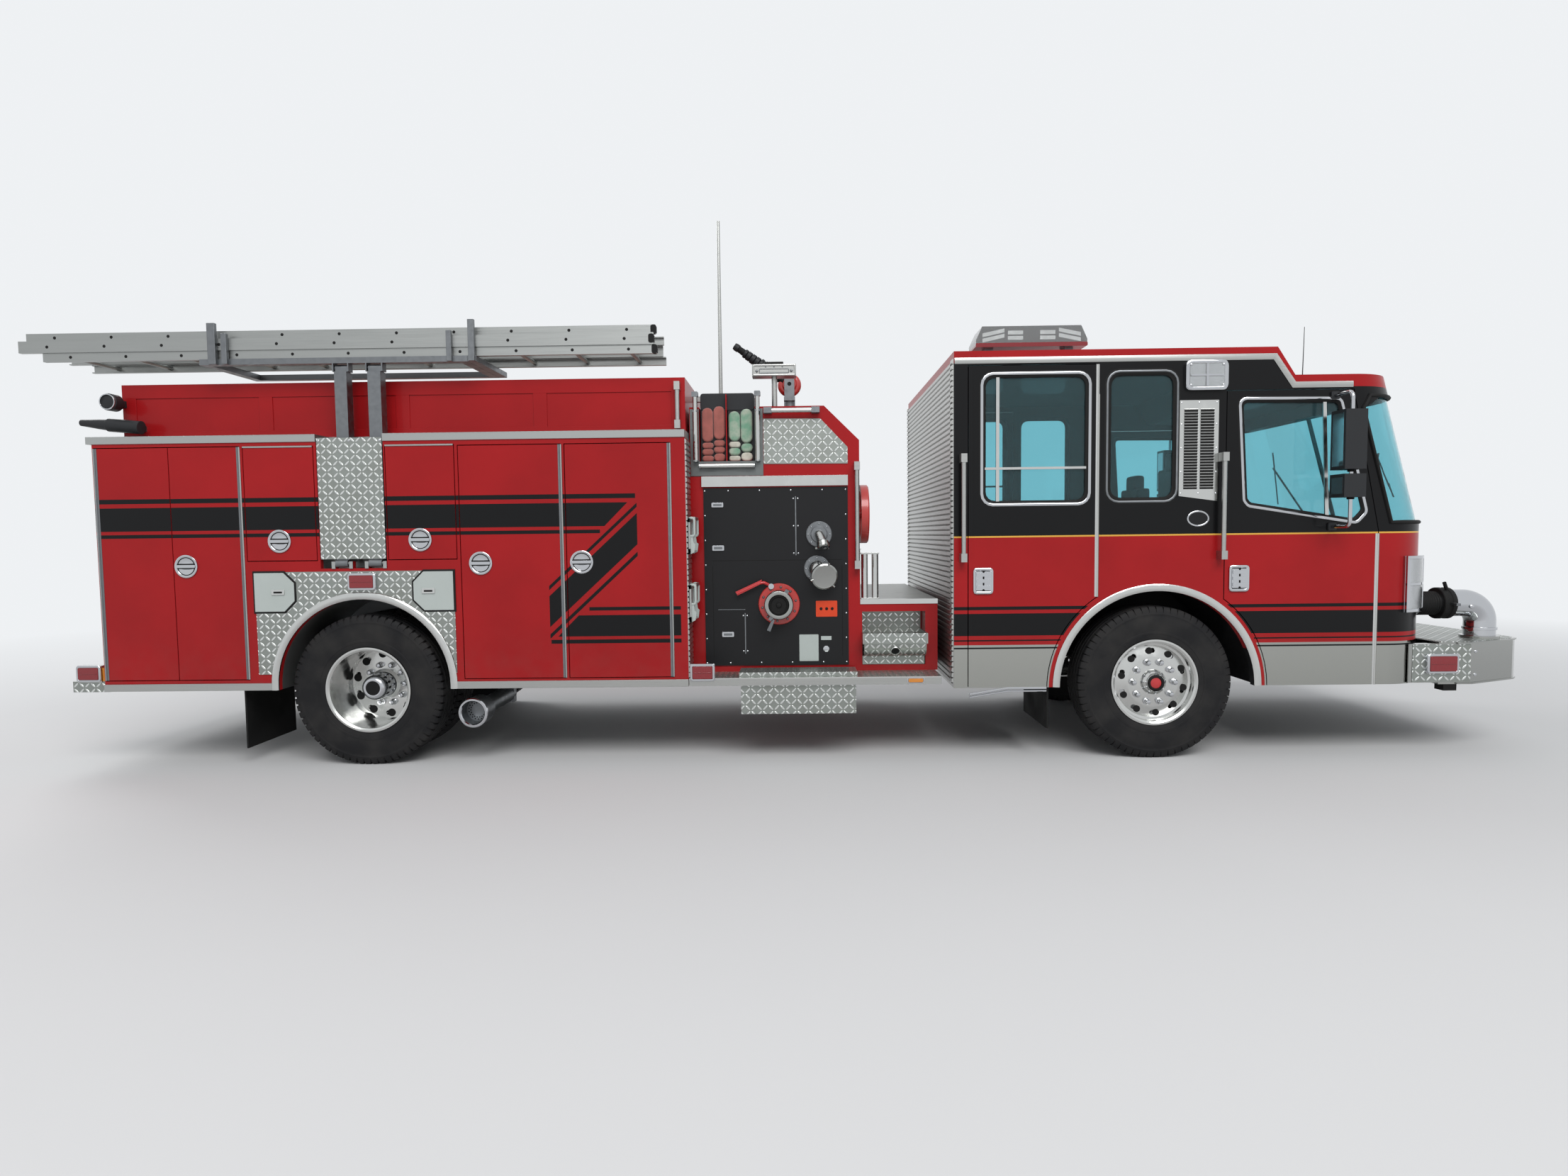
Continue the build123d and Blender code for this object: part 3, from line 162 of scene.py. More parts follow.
def prism(outline, low, high, axis="y"):
    """A flat outline carried along an axis from low to high."""
    flat = np.asarray(outline, float)
    first, second = {"x": (1, 2), "y": (0, 2), "z": (0, 1)}[axis]
    along = 3 - first - second
    rings = np.zeros((2, len(flat), 3))
    rings[:, :, first] = flat[:, 0]
    rings[:, :, second] = flat[:, 1]
    rings[:, :, along] = np.array([low, high])[:, None]
    return loft(rings)


def block(x0, x1, y0, y1, z0, z1):
    """A box between limits along x, y and z."""
    return prism([(x0, z0), (x1, z0), (x1, z1), (x0, z1)], y0, y1)


def blocks(*rows):
    """Several boxes as one shape."""
    return joined([block(*row) for row in rows])


def basis(axis):
    """Two directions square to an axis, and the axis itself, all of unit length."""
    axis = np.asarray(axis, float) / np.linalg.norm(axis)
    side = np.cross(axis, (0, 0, 1) if abs(axis[2]) < 0.9 else (1, 0, 0))
    side /= np.linalg.norm(side)
    return side, np.cross(axis, side), axis


def turns(count, start=0.0):
    """Angles evenly round a circle."""
    return np.linspace(start, start + 2 * math.pi, count, endpoint=False)


def around(place, radius, count, start=0.0):
    """Places evenly round a circle on a side wall, about a place on it."""
    x, y, z = place
    return [(x + radius * math.cos(turn), y, z + radius * math.sin(turn)) for turn in turns(count, start)]


def wall_grid(xs, y, zs):
    """Places at each x and each z on a side wall at y."""
    return [(x, y, z) for x in xs for z in zs]


def on_wall(flat, y):
    """Points (x, z) as places on a side wall at y."""
    return np.insert(np.asarray(flat, float), 1, y, axis=1)


def arc(radius, start, end, steps, centre):
    """Points round part of a circle, or of an oval where radius is a pair, from angle to angle."""
    turn = np.linspace(start, end, steps)
    return np.stack([np.cos(turn), np.sin(turn)], -1) * radius + centre


def turned(profile, centre, axis=RIGHT, steps=32, closed=False):
    """Surface of revolution: each (radius, height) of the profile goes round the axis at centre."""
    radius, height = np.maximum(np.asarray(profile, float).T, (((1e-4,), (-9,))))
    side, up, along = basis(axis)
    turn = turns(steps)
    spokes = np.cos(turn)[:, None] * side + np.sin(turn)[:, None] * up
    rings = radius[:, None, None] * spokes + height[:, None, None] * along + np.asarray(centre)
    return loft(rings, closed)


def washer(inner, outer, low, high, centre, axis=RIGHT, steps=36):
    """A flat ring about an axis."""
    return turned([(inner, low), (outer, low), (outer, high), (inner, high)], centre, axis, steps, closed=True)


def rod(start, end, radius, steps=16):
    """A round bar from start to end."""
    start, end = np.asarray(start, float), np.asarray(end, float)
    length = np.linalg.norm(end - start)
    return turned([(radius, 0), (radius, length)], start, end - start, steps)


def rounded(points, radius, steps=5, closed=False):
    """Polyline whose corners become arcs that touch both of their runs."""
    points = np.asarray(points, float)
    inner = points if closed else points[1:-1]
    before = (np.roll(points, 1, 0) if closed else points[:-2]) - inner
    after = (np.roll(points, -1, 0) if closed else points[2:]) - inner
    before /= np.linalg.norm(before, axis=1)[:, None]
    after /= np.linalg.norm(after, axis=1)[:, None]
    half = np.arccos(np.clip((before * after).sum(1), -1, 0.9999)) / 2
    radius = np.broadcast_to(np.asarray(radius, float), half.shape)
    reach = (radius / np.tan(half))[:, None]
    middle = before + after
    middle /= np.maximum(np.linalg.norm(middle, axis=1), 1e-9)[:, None]
    centre = inner + middle * (radius / np.sin(half))[:, None]
    sweep = np.maximum(math.pi - 2 * half, 1e-4)[:, None, None]
    share = np.linspace(0, 1, steps + 1)[None, :, None]
    start = (inner + before * reach - centre)[:, None]
    end = (inner + after * reach - centre)[:, None]
    arcs = (start * np.sin((1 - share) * sweep) + end * np.sin(share * sweep)) / np.sin(sweep)
    arcs = (arcs + centre[:, None]).reshape(-1, points.shape[1])
    return arcs if closed else np.concatenate([points[:1], arcs, points[-1:]])


def carried(path, section, closed=False, normal=None):
    """A section carried along a flat path, mitred at its corners.

    A section point (a, b) lies a to the side of the path and b along the path's normal, which
    is the direction that the path varies least in unless it is given."""
    path = np.asarray(path, float)
    if normal is None:
        normal = np.linalg.svd(path - path.mean(0))[2][-1]
    normal = np.asarray(normal, float)
    runs = np.roll(path, -1, 0) - path
    if not closed:
        runs[-1] = runs[-2]
    runs /= np.linalg.norm(runs, axis=1)[:, None]
    before = np.roll(runs, 1, 0)
    if not closed:
        before[0] = runs[0]
    side = np.cross(normal, before + runs)
    side /= np.linalg.norm(side, axis=1)[:, None]
    mitre = 1 / np.maximum((side * np.cross(normal, runs)).sum(1), 0.3)
    section = np.asarray(section, float)
    rings = path[:, None] + (side * mitre[:, None])[:, None] * section[None, :, :1]
    return loft(rings + normal * section[None, :, 1:], closed)


def circle(radius, steps=14):
    """Points round a circle, as a section."""
    turn = turns(steps)
    return np.stack([radius * np.cos(turn), radius * np.sin(turn)], -1)


def tube(points, radius, bend=0.03, closed=False, steps=14):
    """A round tube along a polyline with rounded corners."""
    path = rounded(points, bend, closed=closed) if len(points) > 2 else np.asarray(points, float)
    return carried(path, circle(radius, steps), closed)


def strip(wide, high):
    """Section of a flat strip, slightly crowned, with its base on the surface."""
    return [(-wide / 2, 0), (wide / 2, 0), (wide / 2, high * 0.6), (wide / 4, high),
            (-wide / 4, high), (-wide / 2, high * 0.6)]


def box_outline(x0, x1, z0, z1, radius, steps=4):
    """Rectangle with round corners, as points."""
    return rounded([(x0, z0), (x1, z0), (x1, z1), (x0, z1)], radius, steps, closed=True)


def soft_box(x0, x1, z0, z1, radius, low, high):
    """A rectangle with round corners, carried across the truck from low to high."""
    return prism(box_outline(x0, x1, z0, z1, radius), low, high)


def hoop(outline, y, wide, high, bulge=0.0):
    """A crowned strip round an outline on a side wall at y, standing outward."""
    flat = np.asarray(outline, float)
    centre = (flat.min(0) + flat.max(0)) / 2
    flat = centre + (flat - centre) * (1 + bulge / np.abs(flat - centre).max(0))
    return carried(on_wall(flat, y), strip(wide, high), closed=True, normal=RIGHT)


def wire(path, radius, steps=10, closed=False):
    """A round wire along a path in space: each ring's first spoke is the last one, made square
    to the path's new direction."""
    path = np.asarray(path, float)
    ahead = np.roll(path, -1, 0) - path
    if not closed:
        ahead[-1] = ahead[-2]
    behind = np.roll(ahead, 1, 0)
    if not closed:
        behind[0] = ahead[0]
    along = ahead / np.linalg.norm(ahead, axis=1)[:, None] + behind / np.linalg.norm(behind, axis=1)[:, None]
    spoke = basis(along[0])[0]
    rings = []
    for place, way in zip(path, along):
        way = way / np.linalg.norm(way)
        spoke = spoke - way * (spoke @ way)
        spoke /= np.linalg.norm(spoke)
        flat = circle(radius, steps)
        rings.append(place + flat[:, :1] * spoke + flat[:, 1:] * np.cross(way, spoke))
    return loft(rings, closed)


def domes(places, radius, high, normal=RIGHT, steps=10):
    """Domed screw heads, one on each place."""
    head = turned([(radius, 0), (radius * 0.93, high * 0.5), (radius * 0.55, high * 0.92),
                   (radius * 0.1, high)], (0, 0, 0), normal, steps)
    return copies(head, places)


def ridges(low, high, count, step):
    """Points (along, height) of one step, repeated count times from low to high."""
    share, rise = np.array(step).T
    along = low + (high - low) / count * (np.arange(count)[:, None] + share)
    return np.stack([along, np.broadcast_to(rise, along.shape)], -1).reshape(-1, 2)


def ribs(low, high, count, face, deep, y0, y1):
    """A sheet pressed in level ribs: its section rises deep from the face and falls back in
    each of count equal steps between two heights."""
    section = ridges(low, high, count, [(0.0, 0.0), (0.18, 1.0), (0.8, 0.85), (0.97, 0.0)])
    back = face - math.copysign(0.004, deep)
    return prism([*(section[:, ::-1] * (deep, 1) + (face, 0)), (back, high), (back, low)], y0, y1)


def joined(shapes):
    """Several shapes as one."""
    starts = np.cumsum([0] + [len(points) for points, _ in shapes])
    points = np.concatenate([points for points, _ in shapes])
    faces = [group + start for (_, groups), start in zip(shapes, starts) for group in groups]
    return points, faces


def repeated(faces, size, count):
    """Faces of count copies of a shape, whose points follow one another, size for each."""
    starts = (np.arange(count) * size)[:, None, None]
    return [(group + starts).reshape(-1, group.shape[1]) for group in faces]


def copies(shape, offsets):
    """A copy of a shape at each offset."""
    points, faces = shape
    offsets = np.asarray(offsets, float).reshape(-1, 1, 3)
    return (points + offsets).reshape(-1, 3), repeated(faces, len(points), len(offsets))


def ring_copies(shape, centre, axis, count, phase=0.0):
    """Copies of a shape turned about an axis through centre, evenly spaced."""
    points, faces = shape
    placed = [(points - centre) @ np.array(Matrix.Rotation(turn, 3, axis)).T + centre
              for turn in turns(count, 2 * math.pi * phase / count)]
    return np.concatenate(placed), repeated(faces, len(points), count)


def mirrored(shape):
    """The shape on the other side of the truck."""
    points, faces = shape
    return points * (1, -1, 1), [group[:, ::-1] for group in faces]


def across_truck(parts):
    """The parts on the other side of the truck."""
    return [(finish, *map(mirrored, shapes)) for finish, *shapes in parts]


def piece(name, body, parts, bevel=0.0, smooth=38):
    """One object from parts, riding on a body of the frame. A part is a finish and its shapes."""
    finishes = list(dict.fromkeys(finish for finish, *_ in parts))
    points, faces = joined([shape for _, *shapes in parts for shape in shapes])
    counts = [(finishes.index(finish), sum(len(group) for _, groups in shapes for group in groups))
              for finish, *shapes in parts]
    mesh = bpy.data.meshes.new(name)
    corners = [face for group in faces for face in group.tolist()]
    mesh.from_pydata((points + (REAR_AXLE, 0, 0)).tolist(), [], corners)
    mesh.polygons.foreach_set("material_index", np.repeat(*np.array(counts).T))
    for finish in finishes:
        mesh.materials.append(finish_of(finish))
    mesh.shade_smooth()
    mesh.set_sharp_from_angle(angle=math.radians(smooth))
    mesh.update()
    thing = bpy.data.objects.new(name, mesh)
    bpy.context.scene.collection.objects.link(thing)
    if bevel:
        edge = thing.modifiers.new("Bevel", "BEVEL")
        edge.width = bevel
        edge.segments = 2
        edge.limit_method = "ANGLE"
        edge.angle_limit = math.radians(40)
        edge.harden_normals = True
    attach(thing, body)
    return thing


def pair(name, body, slot, parts, bevel=0.0, smooth=38):
    """A piece on the right and its mirror image on the left. A body named with _right changes too."""
    right = piece(name + "_right", body, parts, bevel, smooth)
    left = piece(name + "_left", body.replace("_right", "_left"), across_truck(parts), bevel, smooth)
    return right, left


# Finishes

def opaque(colour):
    """A colour with its fourth number. A name stands for the colour of that paint setting."""
    if isinstance(colour, str):
        colour = getattr(bpy.context.scene.engine_paint, colour)
    return tuple(colour)[:3] + (1.0,)


class Value:
    """A number, colour or vector worked out by nodes: each sum or test on it adds a node.

    A test gives 1 or 0. Of two tests, & gives both and | either, and ~ gives the opposite."""

    def __init__(self, tree, socket):
        self.tree, self.socket = tree, socket

    def maths(self, operation, *others):
        """Result of an operation of a Math node on this value and others."""
        return self.tree.node("Math", self, *others, operation=operation)

    __add__ = partialmethod(maths, "ADD")
    __sub__ = partialmethod(maths, "SUBTRACT")
    __mul__ = __and__ = partialmethod(maths, "MULTIPLY")
    __truediv__ = partialmethod(maths, "DIVIDE")
    __pow__ = partialmethod(maths, "POWER")
    __or__ = partialmethod(maths, "MAXIMUM")
    __gt__ = partialmethod(maths, "GREATER_THAN")
    __lt__ = partialmethod(maths, "LESS_THAN")
    __abs__ = partialmethod(maths, "ABSOLUTE")

    def __rsub__(self, number):
        return self.tree.node("Math", number, self, operation="SUBTRACT")

    def __invert__(self):
        return 1.0 - self

    def within(self, low, high):
        """1 between two limits, and 0 outside them."""
        return (self > low) & (self < high)

    def span(self, low, high, new_low=0.0, new_high=1.0):
        """Value carried from one range to another, and held at its ends."""
        return self.tree.node("MapRange", self, low, high, new_low, new_high)

    def split(self):
        """The three parts of a vector."""
        return [self.tree.node("SeparateXYZ", self, output=k) for k in range(3)]


class Tree:
    """A node tree being built."""

    def __init__(self, owner):
        owner.use_nodes = True
        self.nodes, self.links = owner.node_tree.nodes, owner.node_tree.links

    def feed(self, socket, value):
        """Links a value to a socket, or sets the socket's own number or colour."""
        if isinstance(value, Value):
            self.links.new(value.socket, socket)
        else:
            socket.default_value = value

    def node(self, kind, *inputs, output=0, operation=None, **named):
        """Output of a new node whose inputs are fed in their order, or by name."""
        node = self.nodes.new("ShaderNode" + kind)
        if operation:
            node.operation = operation
        for socket, value in [*zip(node.inputs, inputs), *((node.inputs[key], named[key]) for key in named)]:
            self.feed(socket, value)
        return Value(self, node.outputs[output])

    def backed(self, shader, share, kind, last):
        """Puts the backdrop in place of a share of a shader, for rays from the camera, metal and glass."""
        camera, glossy, through = [self.node("LightPath", output=f"Is {way} Ray")
                                   for way in ("Camera", "Glossy", "Transmission")]
        seen = camera | (glossy | through)
        blend = self.node("MixShader", seen & share if share else seen, shader,
                          self.node(kind, Color=BACKDROP))
        self.feed(self.nodes[last].inputs[0], blend)


class Finish(Tree):
    """A material being built: a principled surface with patterns from Object coordinates."""

    def __init__(self, name, colour, roughness=0.5, metallic=0.0, **more):
        self.material = bpy.data.materials.new(name)
        super().__init__(self.material)
        self.surface = self.nodes["Principled BSDF"]
        self.colour = opaque(colour)
        self.set(Base_Color=self.colour, Roughness=roughness, Metallic=metallic, **more)
        place = self.nodes.new("ShaderNodeTexCoord")
        self.place, self.facing = (Value(self, place.outputs[name]) for name in ("Object", "Normal"))

    def set(self, **sockets):
        """Sets sockets of the surface, named with _ for each space."""
        for name, value in sockets.items():
            self.feed(self.surface.inputs[name.replace("_", " ")], value)

    def axes(self):
        """Distance forward of the rear axle, distance from the middle, and height."""
        x, y, z = self.place.split()
        return x - REAR_AXLE, abs(y), z

    def tint(self, share):
        """The finish's own colour, darker by a share."""
        return opaque(share * part for part in self.colour)

    def mix(self, share, first, second):
        """Colour between two, by share."""
        node = self.nodes.new("ShaderNodeMix")
        node.data_type = "RGBA"
        for index, value in ((0, share), (6, first), (7, second)):
            self.feed(node.inputs[index], value)
        return Value(self, node.outputs[2])

    def noise(self, scale, detail, stretch=(1, 1, 1)):
        """Even noise between 0 and 1, with the place stretched first."""
        place = self.node("VectorMath", self.place, stretch, operation="MULTIPLY")
        return self.node("TexNoise", Vector=place, Scale=scale, Detail=detail, Roughness=0.55)

    def cells(self, scale):
        """Distance from the nearest of many scattered points."""
        return self.node("TexVoronoi", Vector=self.place, Scale=scale, output="Distance")

    def raised(self, height, depth, strength):
        """Bump from a height of 0 to 1, as deep as depth. Returns the finish."""
        self.set(Normal=self.node("Bump", Strength=strength, Distance=depth, Height=height))
        return self


NO_LIGHT = (0.0, 0.0, 0.0, 1.0)
ROAD_DUST = (0.11, 0.085, 0.07, 1.0)
FLAP_RUBBER = (0.008, 0.008, 0.008, 1.0)
COAT = 0.12


def weathered(finish):
    """Paint that drifts a little in shade, and dulls with road dust low down."""
    shade = finish.mix(finish.noise(1.7, 4.0).span(0.35, 0.7, 0.0, 0.16), finish.colour, NO_LIGHT)
    low = finish.axes()[2].span(0.45, 1.0, 0.16, 0.0)
    film = low * finish.noise(9.0, 6.0).span(0.35, 0.75)
    return finish.mix(film, shade, ROAD_DUST), film


def gloss_paint(finish, colour, film):
    """Clear-coated paint: soft orange peel under a bright coat."""
    finish.set(Base_Color=colour, Coat_Weight=COAT, Coat_Roughness=0.05, Specular_IOR_Level=0.15,
               Roughness=film + 0.32)
    return finish.raised(finish.noise(260.0, 1.0), 0.0004, 0.12)


def plain_paint(name, colour):
    """Clear-coated paint of one colour, a little weathered."""
    finish = Finish(name, colour)
    return gloss_paint(finish, *weathered(finish))


DIAGONAL = 0.917


def body_stripes(forward, height):
    """Black bands along the body that drop in a slanted stroke to lower bands at the front.

    The stroke is where the height lies near a line of the same slope; every band end is a
    plain limit forward, or follows the same slope."""
    rise = height - forward * DIAGONAL
    ahead = forward - height
    stroke = rise.within(-0.232, -0.018) | rise.within(0.024, 0.052) | rise.within(-0.312, -0.282)
    bands = (height.within(1.84, 1.872) & (forward < 1.906)
             | height.within(1.651, 1.812) & (ahead < 0.04)
             | height.within(1.603, 1.628) & (forward < 1.66)
             | stroke & forward.within(1.3, 1.915) & height.within(0.845, 1.85)
             | height.within(1.072, 1.096) & (forward > 1.574)
             | height.within(0.894, 1.04) & (ahead > 0.46)
             | height.within(0.845, 0.872) & (forward > 1.306))
    return bands & (forward < 2.205)


def body_paint():
    """Red locker bodies and doors with black bands outside, and bare metal inside and on the
    trim that stands proud of the sides and ends."""
    finish = Finish("body_paint", "red")
    forward, aside, height = finish.axes()
    side = abs(BODY_SIDE)
    outside = (aside > side - 0.038) | (forward < -1.823) | (forward > 2.2485)
    proud = (aside > side + 0.0015) | (forward > 2.2515) | (height > 2.2495)
    colour, film = weathered(finish)
    stripes = body_stripes(forward, height) & (aside > side - 0.0015)
    flap = height < 0.535
    metal = (proud | ~outside) & ~flap
    colour = finish.mix(flap, finish.mix(stripes, colour, opaque("black")), FLAP_RUBBER)
    gloss_paint(finish, finish.mix(metal, colour, (0.4, 0.41, 0.4, 1.0)), film)
    finish.set(Metallic=metal * 0.9, Coat_Weight=~metal * COAT)
    return finish.raised((height > 2.2985) * lozenges(finish), 0.0022, 0.9)


def bed_paint():
    """Red bed walls, with dark grey on the bed's floor."""
    finish = Finish("bed_paint", "red")
    colour, film = weathered(finish)
    floor = finish.axes()[2] < 2.085
    return gloss_paint(finish, finish.mix(floor, colour, (0.16, 0.16, 0.155, 1.0)), film)


ROOF_LINE = (2.53, 2.72)
ROOF_STEP_X = 6.245
ROOF_SLOPE = 1.5
BELT_LINE = (1.541, 1.552)
CAB_MIDDLE = (REAR_AXLE + 5.7, 0.0, 1.65)


def cab_paint():
    """Black over red, with a gold line at the belt, black bands and a stainless skirt.

    Outside is told from inside by whether the surface faces away from the cab's middle."""
    finish = Finish("cab_paint", "red")
    forward, aside, height = finish.axes()
    away = [way * (place - centre) for way, place, centre
            in zip(finish.facing.split(), finish.place.split(), CAB_MIDDLE)]
    rim = (aside > 1.15) | (height > 2.4) | (forward > CAB_NOSE - 0.5) | (forward < CAB_BACK + 0.02)
    outside = (away[0] + away[1] + away[2] > 0.0) & rim
    line = ROOF_LINE[1] - (forward - ROOF_STEP_X) * ROOF_SLOPE
    line = line.maths("MAXIMUM", ROOF_LINE[0]).maths("MINIMUM", ROOF_LINE[1])
    upper = (height > BELT_LINE[1]) & ~(height > line)
    beyond_arch = ~((forward - WHEELBASE) ** 2.0 + (height - 0.5) ** 2.0 < 0.738 ** 2)
    bands = (height.within(1.045, 1.068) | height.within(0.867, 1.02) | height.within(0.829, 0.839)
             | height.within(0.7, 0.787))
    proud = (aside > abs(CAB_SIDE) + 0.0015) & (height < 2.5)
    flap = height < 0.505
    skirt = (height < 0.803) & beyond_arch & outside & ~height.within(0.776, 0.787)
    skirt = (proud | skirt) & ~flap
    colour, film = weathered(finish)
    for share, tone in ((upper | bands & beyond_arch, opaque("black")), (height.within(*BELT_LINE), opaque("gold")),
                        (skirt, (0.36, 0.365, 0.34, 1.0)), (flap, FLAP_RUBBER)):
        colour = finish.mix(share, colour, tone)
    lining = (0.01, 0.01, 0.011, 1.0)
    finish.set(Base_Color=finish.mix(outside, lining, colour), Metallic=skirt, Coat_Weight=COAT,
               Coat_Roughness=0.04, Specular_IOR_Level=0.15,
               Roughness=film + 0.3 - skirt * 0.24 + ~outside * 0.4)
    return finish.raised(finish.noise(260.0, 1.0), 0.0004, 0.1)


TREAD_PITCH = 0.04


def face_plane(finish, pitch):
    """Two coordinates across the face that the surface turns to, in steps of pitch."""
    x, y, z = finish.place.split()
    endwise, _, level = (abs(part) > 0.7 for part in finish.facing.split())
    return (x + (y - x) * endwise) / pitch, (z + (y - z) * level) / pitch


def lozenges(finish):
    """Height of raised lozenges, turned a quarter from each to the next.

    In each square cell a lozenge is where (a / long)^2 + (b / short)^2 is under 1, for a and b
    along the cell's diagonals, which swap in every other cell."""
    across, along = face_plane(finish, TREAD_PITCH)
    parity = (across.maths("FLOOR") + along.maths("FLOOR")).maths("PINGPONG", 1.0)
    u, v = (place.maths("FRACT") - 0.5 for place in (across, along))
    v = v * (1.0 - parity * 2.0)
    return (((u + v) / 0.78) ** 2.0 + ((u - v) / 0.24) ** 2.0).span(1.1, 0.55)


def treadplate():
    """Bright aluminium plate with raised lozenges and a little grime between them."""
    finish = Finish("treadplate", (0.4, 0.41, 0.4), 0.34, 0.85)
    lug = lozenges(finish)
    grime = finish.noise(6.0, 6.0).span(0.4, 0.75, 0.0, 0.35)
    ground = finish.mix(grime, (0.29, 0.31, 0.29, 1.0), (0.18, 0.18, 0.15, 1.0))
    finish.set(Base_Color=finish.mix(lug, ground, (0.66, 0.68, 0.66, 1.0)),
               Roughness=lug.span(0.0, 1.0, 0.42, 0.24))
    return finish.raised(lug, 0.0022, 0.9)


def brushed(name, colour, roughness, stretch):
    """Metal with fine lines along it: noise stretched lengthways."""
    finish = Finish(name, colour, roughness, 1.0)
    lines = finish.noise(1.0, 4.0, stretch)
    finish.set(Roughness=lines.span(0.3, 0.7, roughness * 0.75, roughness * 1.3),
               Base_Color=finish.mix(lines.span(0.3, 0.7), finish.tint(0.9), finish.colour))
    return finish.raised(lines, 0.0003, 0.15)


def bright(name, colour, roughness):
    """Polished metal with faint smears and water marks."""
    finish = Finish(name, colour, roughness, 1.0)
    finish.set(Roughness=finish.noise(14.0, 5.0).span(0.35, 0.75, roughness, roughness * 2.4))
    return finish


def worn_rubber(name, colour, dust):
    """Rubber, greyed by dust in patches, with a fine grain."""
    finish = Finish(name, colour, 0.75, Specular_IOR_Level=0.2)
    patch = finish.noise(5.0, 6.0).span(0.4, 0.8, 0.0, dust)
    finish.set(Base_Color=finish.mix(patch, finish.colour, (0.085, 0.08, 0.073, 1.0)),
               Roughness=patch.span(0.0, dust + 0.01, 0.6, 0.9))
    return finish.raised(finish.noise(420.0, 2.0), 0.0006, 0.25)


def moulded(name, colour, roughness=0.45, grain=500.0):
    """Moulded plastic with a fine grain."""
    finish = Finish(name, colour, roughness, Specular_IOR_Level=0.22)
    shade = finish.noise(3.0, 4.0).span(0.35, 0.7, 0.0, 0.2)
    finish.set(Base_Color=finish.mix(shade, finish.colour, finish.tint(0.7)))
    return finish.raised(finish.noise(grain, 2.0), 0.0004, 0.2)


def cast_paint(name, colour, roughness=0.38):
    """Enamel on a casting: glossy, with a slightly uneven skin and rubbed patches."""
    finish = Finish(name, colour, roughness, Coat_Weight=0.6, Coat_Roughness=0.12)
    wear = finish.noise(18.0, 6.0).span(0.5, 0.8, 0.0, 0.4)
    finish.set(Base_Color=finish.mix(wear, finish.colour, finish.tint(0.55)))
    return finish.raised(finish.noise(70.0, 4.0), 0.0015, 0.2)


def lens(name, colour, transmission):
    """Moulded lens with fine upright flutes."""
    finish = Finish(name, colour, 0.12, Transmission_Weight=transmission, Coat_Weight=0.5,
                    Coat_Roughness=0.03, IOR=1.49)
    flutes = finish.node("TexWave", Vector=finish.place, Scale=38.0, output="Fac")
    return finish.raised(flutes, 0.001, 0.35)


def window_glass():
    """Tinted glass: mostly see-through, darker and bluer than air."""
    finish = Finish("glass", (0.42, 0.74, 0.8), 0.01, Transmission_Weight=0.97, IOR=1.3)
    finish.set(Roughness=finish.noise(2.5, 5.0).span(0.4, 0.8, 0.004, 0.03))
    return finish


def woven(name, colour, second):
    """Hose jacket or belt: a fine cross weave and long stains."""
    finish = Finish(name, colour, 0.85, Sheen_Weight=0.3)
    stain = finish.noise(16.0, 5.0).span(0.35, 0.7)
    finish.set(Base_Color=finish.mix(stain, finish.colour, opaque(second)))
    return finish.raised(finish.cells(900.0), 0.001, 0.6)


def vinyl():
    """Grained seat vinyl with a slight sheen."""
    finish = Finish("seat_vinyl", (0.016, 0.017, 0.019), 0.5, Specular_IOR_Level=0.3)
    finish.set(Roughness=finish.noise(8.0, 4.0).span(0.35, 0.7, 0.42, 0.62))
    return finish.raised(finish.cells(320.0), 0.0008, 0.35)


